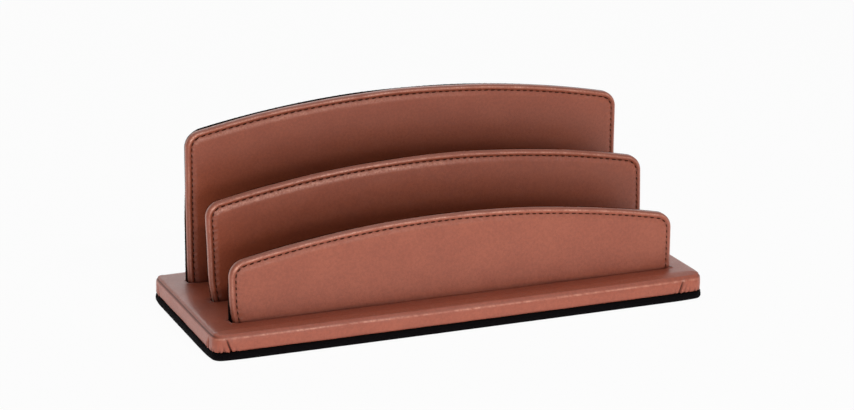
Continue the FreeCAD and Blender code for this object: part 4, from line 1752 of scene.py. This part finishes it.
    def cover(self, finish: bpy.types.Material) -> None:
        """Builds the leather over the base, with its slits, soft edges and gathered corners."""
        layout = self.sheet_layout()
        rows, inner_rows = self.leather_rows()
        skin = carry(layout, rows, self.uncut(layout))
        core = skin.core
        from_end = self.slab.half_x - np.abs(skin.plan[:, 0])
        from_side = self.slab.half_y - np.abs(skin.plan[:, 1])
        angled = from_side / np.clip(from_side + from_end, 1e-6, None)
        facing = np.where(core, angled, layout.out[skin.column, 0] ** 2)
        reach = skin.read(rows, "reach", -np.minimum(from_end, from_side))
        lower, shift = self.roll(skin, facing, self.slab.corner - reach)
        level = skin.read(rows, "level", self.top) - lower
        setback = self.slab.corner - reach - shift
        offset, corner = self.from_corners(layout)
        offset = np.where(core, FAR, offset[skin.column])
        corner = np.where(core, 0, corner[skin.column])
        height = level - self.pad_height
        outside = ~core & (skin.row < len(rows) - self.turned_rows)
        on_top = core | (skin.row < self.brow_row)
        groove = np.where(core, 0.0, bell(skin.row - self.groove_row, 1.3)) * facing
        side = np.where(outside, ramp(self.top - 3.0 - level, 0.0, 1.8), 0.0)
        low = np.where(outside, ramp(self.top - 1.2 - level, 0.0, 2.0), 0.0)
        sunk = self.gathers(offset, corner, height) * low
        swell = self.side_swell * np.sin(np.clip(height / 7.5, 0.0, 1.0) * math.pi) - 0.05
        wavy = self.side_wave * (ripple(*skin.plan.T, Wave.BASE_SIDE) - 0.6)
        stand = self.proud - self.corner_draw * bell(offset, 6.0)
        stand = stand * ramp(-setback, -5.0, -2.0) * outside
        dent = 0.6 * self.groove_depth * groove
        extra = stand + shift - dent - sunk + (swell + wavy) * side
        x, y = self.slab.place(layout, rows, skin, extra)
        y = self.bowed(x, y, self.cover_bow, outside)
        low_edge = outside & (skin.row >= len(rows) - self.edge_rows)
        scallop = ripple(offset, 0.0 * offset, Wave.SCALLOPS)
        scallop = self.scallop * np.clip(scallop, 0.0, None)
        raised = np.clip(scallop * bell(offset, 15.0) + 0.6 * sunk, 0.0, 0.95) - 0.15
        z = level + np.where(low_edge, raised, 0.0)
        relief, distance = self.top_relief(x, y)
        z = z + np.where(on_top, relief, 0.0) - 0.8 * self.groove_depth * groove
        below = self.top_uneven * ripple(x, y, Wave.BASE_TOP) * (1.0 - side)
        z = z + np.where(outside & ~on_top, below, 0.0)
        x = self.pinched(x, y, on_top)
        outer = np.stack([x, y, z], axis=1)
        inner = self.slab.inside(layout, inner_rows, skin, self.top - self.leather_thick)
        place, edge = (x, level, distance), (facing, offset, corner)
        wear, shade = self.worn_highlight_and_shade(skin, place, edge, (sunk, groove), (outside, on_top))
        closed = close_shell(outer, inner, skin.faces)
        piece = make_piece("base_cover", *without_loose(*closed, marks(wear, shade)))
        hand_over(piece, finish, "base_leather")

    def worn_highlight_and_shade(
        self, skin: Skin, place: tuple, edge: tuple, relief: tuple, zones: tuple
    ) -> tuple[Array, Array]:
        """Worn colour with painted highlight, and painted shade, of the cover.

        The lighter worn colour is laid as a patchy painted highlight along the line where the
        highlight runs on the upper edge's side, weaker to the right, with a gap at a fold of the
        front left corner. Painted shade lies in the slits, in the groove, below the upper edge, in
        the folds and along the lower edge.

        Args:
            skin: The cover's outer skin.
            place: Place across, level, and distance outside the slits.
            edge: How far the nearest edge faces an end, and the nearest corner's distance and
                number.
            relief: How far each point sinks into a fold, and its share of the groove.
            zones: Whether each point lies outside the turned rows, and on the top.

        Returns:
            Worn colour with painted highlight, and painted shade, one of each for every point.
        """
        x, level, distance = place
        facing, offset, corner = edge
        sunk, groove = relief
        outside, on_top = zones
        on_side = outside & ~on_top
        # Painted highlight, partly worn colour: a patchy band along the upper edge's highlight
        # line.
        highlight_level = self.top - 3.5 + 0.35 * ramp(-x, 0.0, 90.0)
        highlight_band = bell(level - highlight_level, 0.34) * on_side * (1.0 - 0.8 * ramp(facing, 0.2, 0.8))
        patchy = 0.55 + 0.25 * ripple(*skin.plan.T, Wave.RUBBED_PATCHES)
        patchy = patchy + 0.4 * ripple(*skin.plan.T, Wave.RUBBED_SPECKS)
        gap = 1.0 - 0.9 * bell(offset - 7.6, 1.5) * (corner == 3)
        wear = np.clip(highlight_band * patchy * gap, 0.0, 1.0) * (0.95 - 0.1 * ramp(x, -60.0, 120.0))
        # Painted shade in the slits, in the groove along the ends, under the upper edge, in the
        # folds and along the lower edge.
        shade = np.where(on_top, 0.75 * np.exp(-distance / 0.5), 0.0) + groove
        shade = shade + 0.17 * bell(level - (self.top - 2.35), 0.55) * on_side * (1.0 - facing)
        shade = shade + np.clip(sunk, 0.0, None) * 1.2
        low = outside & (level - self.pad_height < 1.2)
        return wear, np.clip(shade + np.where(low, 0.25, 0.0), 0.0, 1.0)

    def pad_rows(self) -> tuple[list[Row], list[Row]]:
        """Rows of the pad's outside from the underside up, and of its inside."""
        reach = self.slab.corner + self.pad_margin
        board = self.slab.corner + self.pad_board_margin
        low, high = self.pad_low_round, self.pad_round
        wall, top = self.velveteen_thick, self.pad_height
        outer = [Row(1.5, 0.0), Row(3.0, 0.0), Row(reach - low, 0.0)]
        inner = [Row(1.5, wall), Row(3.0, wall), Row(board - 0.5, wall)]
        for angle in np.radians([25.0, 45.0, 65.0, 90.0]):
            across, up = math.sin(angle), 1.0 - math.cos(angle)
            outer.append(Row(reach - low + low * across, low * up))
            inner.append(Row(board - 0.5 + 0.5 * across, wall + 0.5 * up))
        outer.append(Row(reach, top / 2.0))
        inner.append(Row(board, top / 2.0))
        for angle in np.radians([0.0, 25.0, 45.0, 65.0, 90.0]):
            across, up = math.cos(angle), math.sin(angle)
            outer.append(Row(reach - high + high * across, top - high + high * up))
            inner.append(Row(board - 0.9 + 0.9 * across, top - wall - 0.9 + 0.9 * up))
        outer += [Row(3.9, top, 4.0), Row(3.9, top, 12.4)]
        inner += [Row(3.9, top - wall, 4.0), Row(3.9, top - wall, 12.4)]
        return outer, inner

    def pad(self, finish: bpy.types.Material) -> None:
        """Builds the velveteen round the pad board, whose sides are soft and uneven."""
        lines = []
        for half, band in ((self.slab.half_x, 12.0), (self.slab.half_y, 10.0)):
            stops = [(-half, 0.9), (-half + band, 1.6), (half - band, 1.6), (half, 0.9)]
            lines.append(graded(stops))
        layout = self.slab.layout(*lines, self.pad_turn)
        rows, inner_rows = self.pad_rows()
        skin = carry(layout, rows)
        core = skin.core
        level = skin.read(rows, "level", 0.0)
        flat = core | (skin.row < self.pad_flat_rows) | (skin.row >= len(rows) - self.turned_rows)
        side = np.where(flat, 0.0, bell(level - 2.4, 1.9))
        (travel,) = skin.carried(self.slab.travel(layout)[0])
        lumps = ripple(travel, level * 2.0, Wave.PAD_LUMPS)
        lumps = lumps + 0.6 * ripple(travel, level, Wave.PAD_SWELLS)
        offset, _ = self.from_corners(layout)
        softened = self.pad_draw * bell(offset, 9.0)[skin.column] * (~core & (skin.row > 1))
        extra = self.pad_lumps * (lumps - 0.7) * side - softened
        x, y = self.slab.place(layout, rows, skin, extra)
        y = self.bowed(x, y, self.pad_bow, ~core)
        lift = self.pad_lift * ripple(travel, 0.0 * travel, Wave.PAD_EDGE) * side
        lift = np.where(core, 0.0, lift * ramp(level, 2.0, 4.0))
        z = np.clip(level + lift, 0.0, self.pad_height)
        outer = np.stack([x, y, z], axis=1)
        inner = self.slab.inside(layout, inner_rows, skin, self.velveteen_thick)
        points, faces = close_shell(outer, inner, [part[:, ::-1] for part in skin.faces])
        piece = make_piece("base_pad_wrap", points, faces, {})
        hand_over(piece, finish, "base_pad_velveteen")

    def build(self, leather: bpy.types.Material, velveteen: bpy.types.Material) -> None:
        """Builds and dresses the cover and the pad."""
        self.cover(leather)
        self.pad(velveteen)


@dataclass(frozen=True)
class Boards:
    """The boards and padding inside the covers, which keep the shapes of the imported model.

    Attributes:
        dividers: Names of the dividers.
    """

    dividers: tuple = ("rear", "middle", "front")

    def build(self) -> None:
        """Gives each board and padding its finish."""
        core = PressedBoard("core_board_finish").make()
        shades = tint(120, 112, 102), tint(80, 74, 66), tint(150, 142, 130)
        pad = PressedBoard("pad_board_finish", *shades).make()
        shades = tint(134, 122, 104), tint(88, 78, 64), tint(166, 154, 136)
        thin = PressedBoard("divider_board_finish", *shades).make()
        soft = Wadding().make()
        self.dress("base_board", core)
        self.dress("base_pad_board", pad)
        for name in self.dividers:
            self.dress(f"{name}_board", thin)
            self.dress(f"{name}_padding", soft)

    def dress(self, node: str, material: bpy.types.Material) -> None:
        """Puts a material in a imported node's slots."""
        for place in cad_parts[node].material_slots:
            place.material = material
        log.info("%s: dressed as %s", node, material.name)


# Studio


@dataclass(frozen=True)
class Lamp:
    """A soft lamp.

    Attributes:
        name: Its name.
        place: Where it hangs, in metres.
        width: Its width in metres.
        height: Its height in metres.
        power: Its power in watts.
        aim: Point that it faces.
    """

    name: str
    place: tuple
    width: float
    height: float
    power: float
    aim: tuple = (0.0, 0.0, 0.05)

    def hang(self) -> None:
        """Makes the lamp and turns it to its aim."""
        data = bpy.data.lights.new(self.name, "AREA")
        data.shape = "RECTANGLE"
        data.size, data.size_y, data.energy = self.width, self.height, self.power
        lamp = add_object(self.name, data)
        lamp.visible_camera = False
        lamp.location = self.place
        lamp.rotation_euler = direction_to_turn(np.array(self.aim) - np.array(self.place))


def direction_to_turn(aim: Array) -> tuple[float, float, float]:
    """Turn about X and Z that points an object's own -Z along a direction."""
    x, y, z = (float(part) for part in aim)
    return (math.acos(-z / float(np.linalg.norm(aim))), 0.0, -math.atan2(x, y))


@dataclass(frozen=True)
class Studio:
    """Plain pale floor, white surroundings, soft lamps and the camera.

    Attributes:
        focal: Focal length in pixels of the photograph's width.
        azimuth: Where the camera stands round the object, in degrees.
        elevation: Its height above the horizon, in degrees.
        distance: Its distance from the target, in metres.
        target: What it looks at, in metres.
        sensor: Width of the camera's sensor, in millimetres.
        clip: Nearest and furthest distance that the camera sees, in metres.
        floor_half: Half the floor's width, in metres.
        floor_lines: Lines of its grid, each way.
        floor_gap: How far it lies below the object, in millimetres.
        dip: How far it dips, in millimetres.
        dip_band: Distances from the middle between which it dips, in millimetres.
        floor_colour: How much light the floor gives back.
        floor_glow: Share of its look that glows.
        floor_light: Strength of the glow as light on the object.
        sky: Strength of the surroundings as light.
        lamps: The lamps.
    """

    focal: float = 2546.3
    azimuth: float = -21.79
    elevation: float = 16.45
    distance: float = 1.4431
    target: tuple = (-0.00105, 0.0, 0.05568)
    sensor: float = 36.0
    clip: tuple = (0.05, 50.0)
    floor_half: float = 4.0
    floor_lines: int = 33
    floor_gap: float = 0.02
    dip: float = 300.0
    dip_band: tuple = (3000.0, 4000.0)
    floor_colour: float = 0.86
    floor_glow: float = 0.95
    floor_light: float = 2.08
    sky: float = 0.02
    lamps: tuple = (
        Lamp("key_softbox", (0.36, -1.22, 1.10), 0.70, 0.05, 5.5),
        Lamp("front_softbox", (-0.05, -1.50, 0.25), 1.20, 0.34, 5.4),
        Lamp("overhead_softbox", (0.0, 0.10, 1.60), 1.40, 0.80, 8.8),
        Lamp("back_softbox", (0.20, 1.60, 1.00), 1.40, 0.60, 5.0),
    )

    def build(self) -> None:
        """Makes the camera, the floor, the lamps and the surroundings."""
        self.make_camera()
        self.make_floor()
        self.make_sky()
        for lamp in self.lamps:
            lamp.hang()
        bpy.context.scene.view_settings.view_transform = "Standard"

    def make_camera(self) -> None:
        """Places the camera on a sphere round the target, looking at it."""
        around, above = math.radians(self.azimuth), math.radians(self.elevation)
        back = np.array([
            math.sin(around) * math.cos(above),
            -math.cos(around) * math.cos(above),
            math.sin(above),
        ])
        data = bpy.data.cameras.new("camera")
        data.sensor_width = self.sensor
        data.lens = self.focal * self.sensor / PHOTO_WIDTH
        data.clip_start, data.clip_end = self.clip
        camera = add_object("camera", data)
        camera.location = tuple(np.array(self.target) + back * self.distance)
        camera.rotation_euler = direction_to_turn(-back)
        bpy.context.scene.camera = camera

    def make_floor(self) -> None:
        """Makes the floor: a grid that dips by a smooth step far from the object, out of view."""
        line = np.linspace(-self.floor_half, self.floor_half, self.floor_lines) / MM
        x, y = np.meshgrid(line, line, indexing="ij")
        level = -self.floor_gap - self.dip * ramp(np.hypot(x, y), *self.dip_band)
        points = np.stack([x.ravel(), y.ravel(), level.ravel()], axis=1)
        number = np.arange(x.size).reshape(x.shape)
        mesh = bpy.data.meshes.new("floor")
        mesh.from_pydata((points * MM).tolist(), [], grid_quads(number).tolist())
        floor = add_object("floor", mesh)
        mix = Recipe.named("floor_finish")
        shade = self.floor_colour
        soft = mix.add("BsdfDiffuse", {"Color": (shade, shade, shade, 1.0)}).outputs[0]
        level = mix.spread(mix.seen(), 0.0, 1.0, self.floor_light, 1.0)
        glow = mix.add("Emission", {"Color": WHITE, "Strength": level}).outputs[0]
        both = mix.add("MixShader", {0: self.floor_glow, 1: soft, 2: glow}).outputs[0]
        floor.data.materials.append(mix.finish(both))

    def make_sky(self) -> None:
        """White where the camera or a reflection sees it, and a plain soft grey as light."""
        world = bpy.data.worlds.new("surroundings")
        bpy.context.scene.world = world
        mix = Recipe(world, "OutputWorld")
        shown = mix.add("Background", {"Color": WHITE, "Strength": 1.0}).outputs[0]
        light = mix.add("Background", {"Color": WHITE, "Strength": self.sky}).outputs[0]
        mix.finish(mix.add("MixShader", {0: mix.seen(), 1: light, 2: shown}).outputs[0])


def main() -> None:
    """Builds the letter sorter and its studio."""
    logging.basicConfig(level=logging.INFO, format="%(name)s: %(message)s")
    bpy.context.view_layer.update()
    # Three copies of one leather as painted light and shade: the rear and middle dividers take the
    # darkest, for the shade between the dividers, the front divider a lighter one, and the base the
    # lightest.
    leather = Leather().make()
    front_leather = Leather("front_leather_finish", tint(157, 82, 58), tint(151, 77, 54)).make()
    base_leather = Leather("base_leather_finish", tint(161, 83, 60), tint(155, 78, 56)).make()
    velveteen = Velveteen().make()
    lining = Velveteen("lining_finish", tint(7, 4, 5), tint(34, 25, 26)).make()
    thread = Thread().make()
    Base().build(base_leather, velveteen)
    dividers = (
        Divider(
            "rear", 100.7, 32.0, 100, set_in=(-0.2, -0.5), foot_in=(-0.8, 0.5),
            leather_taper=(0.4, 0.4), proud=0.4, side_proud=(-0.5, 0.4), seam_highlight=0.40,
        ),
        Divider(
            "middle", 70.4, -4.2, 200, lean=0.0035, set_in=(-0.3, 0.0), foot_in=(1.25, -0.8),
            lining_taper=(1.0, 1.0), sunk=0.4, side_proud=(-0.4, -0.4), seam_highlight=0.75,
        ),
        Divider(
            "front", 47.0, -42.6, 300, lean=-0.0045, set_in=(0.55, -1.0),
            leather_taper=(1.0, 0.1), sunk=0.3, side_proud=(-0.3, 0.2), seam_highlight=0.15,
        ),
    )
    # The rear and middle dividers take the darker copy, as painted shade.
    for divider, cover in zip(dividers, (leather, leather, front_leather)):
        divider.build(cover, lining, thread)
    Boards().build()
    Studio().build()


if __name__ == "__main__":
    main()
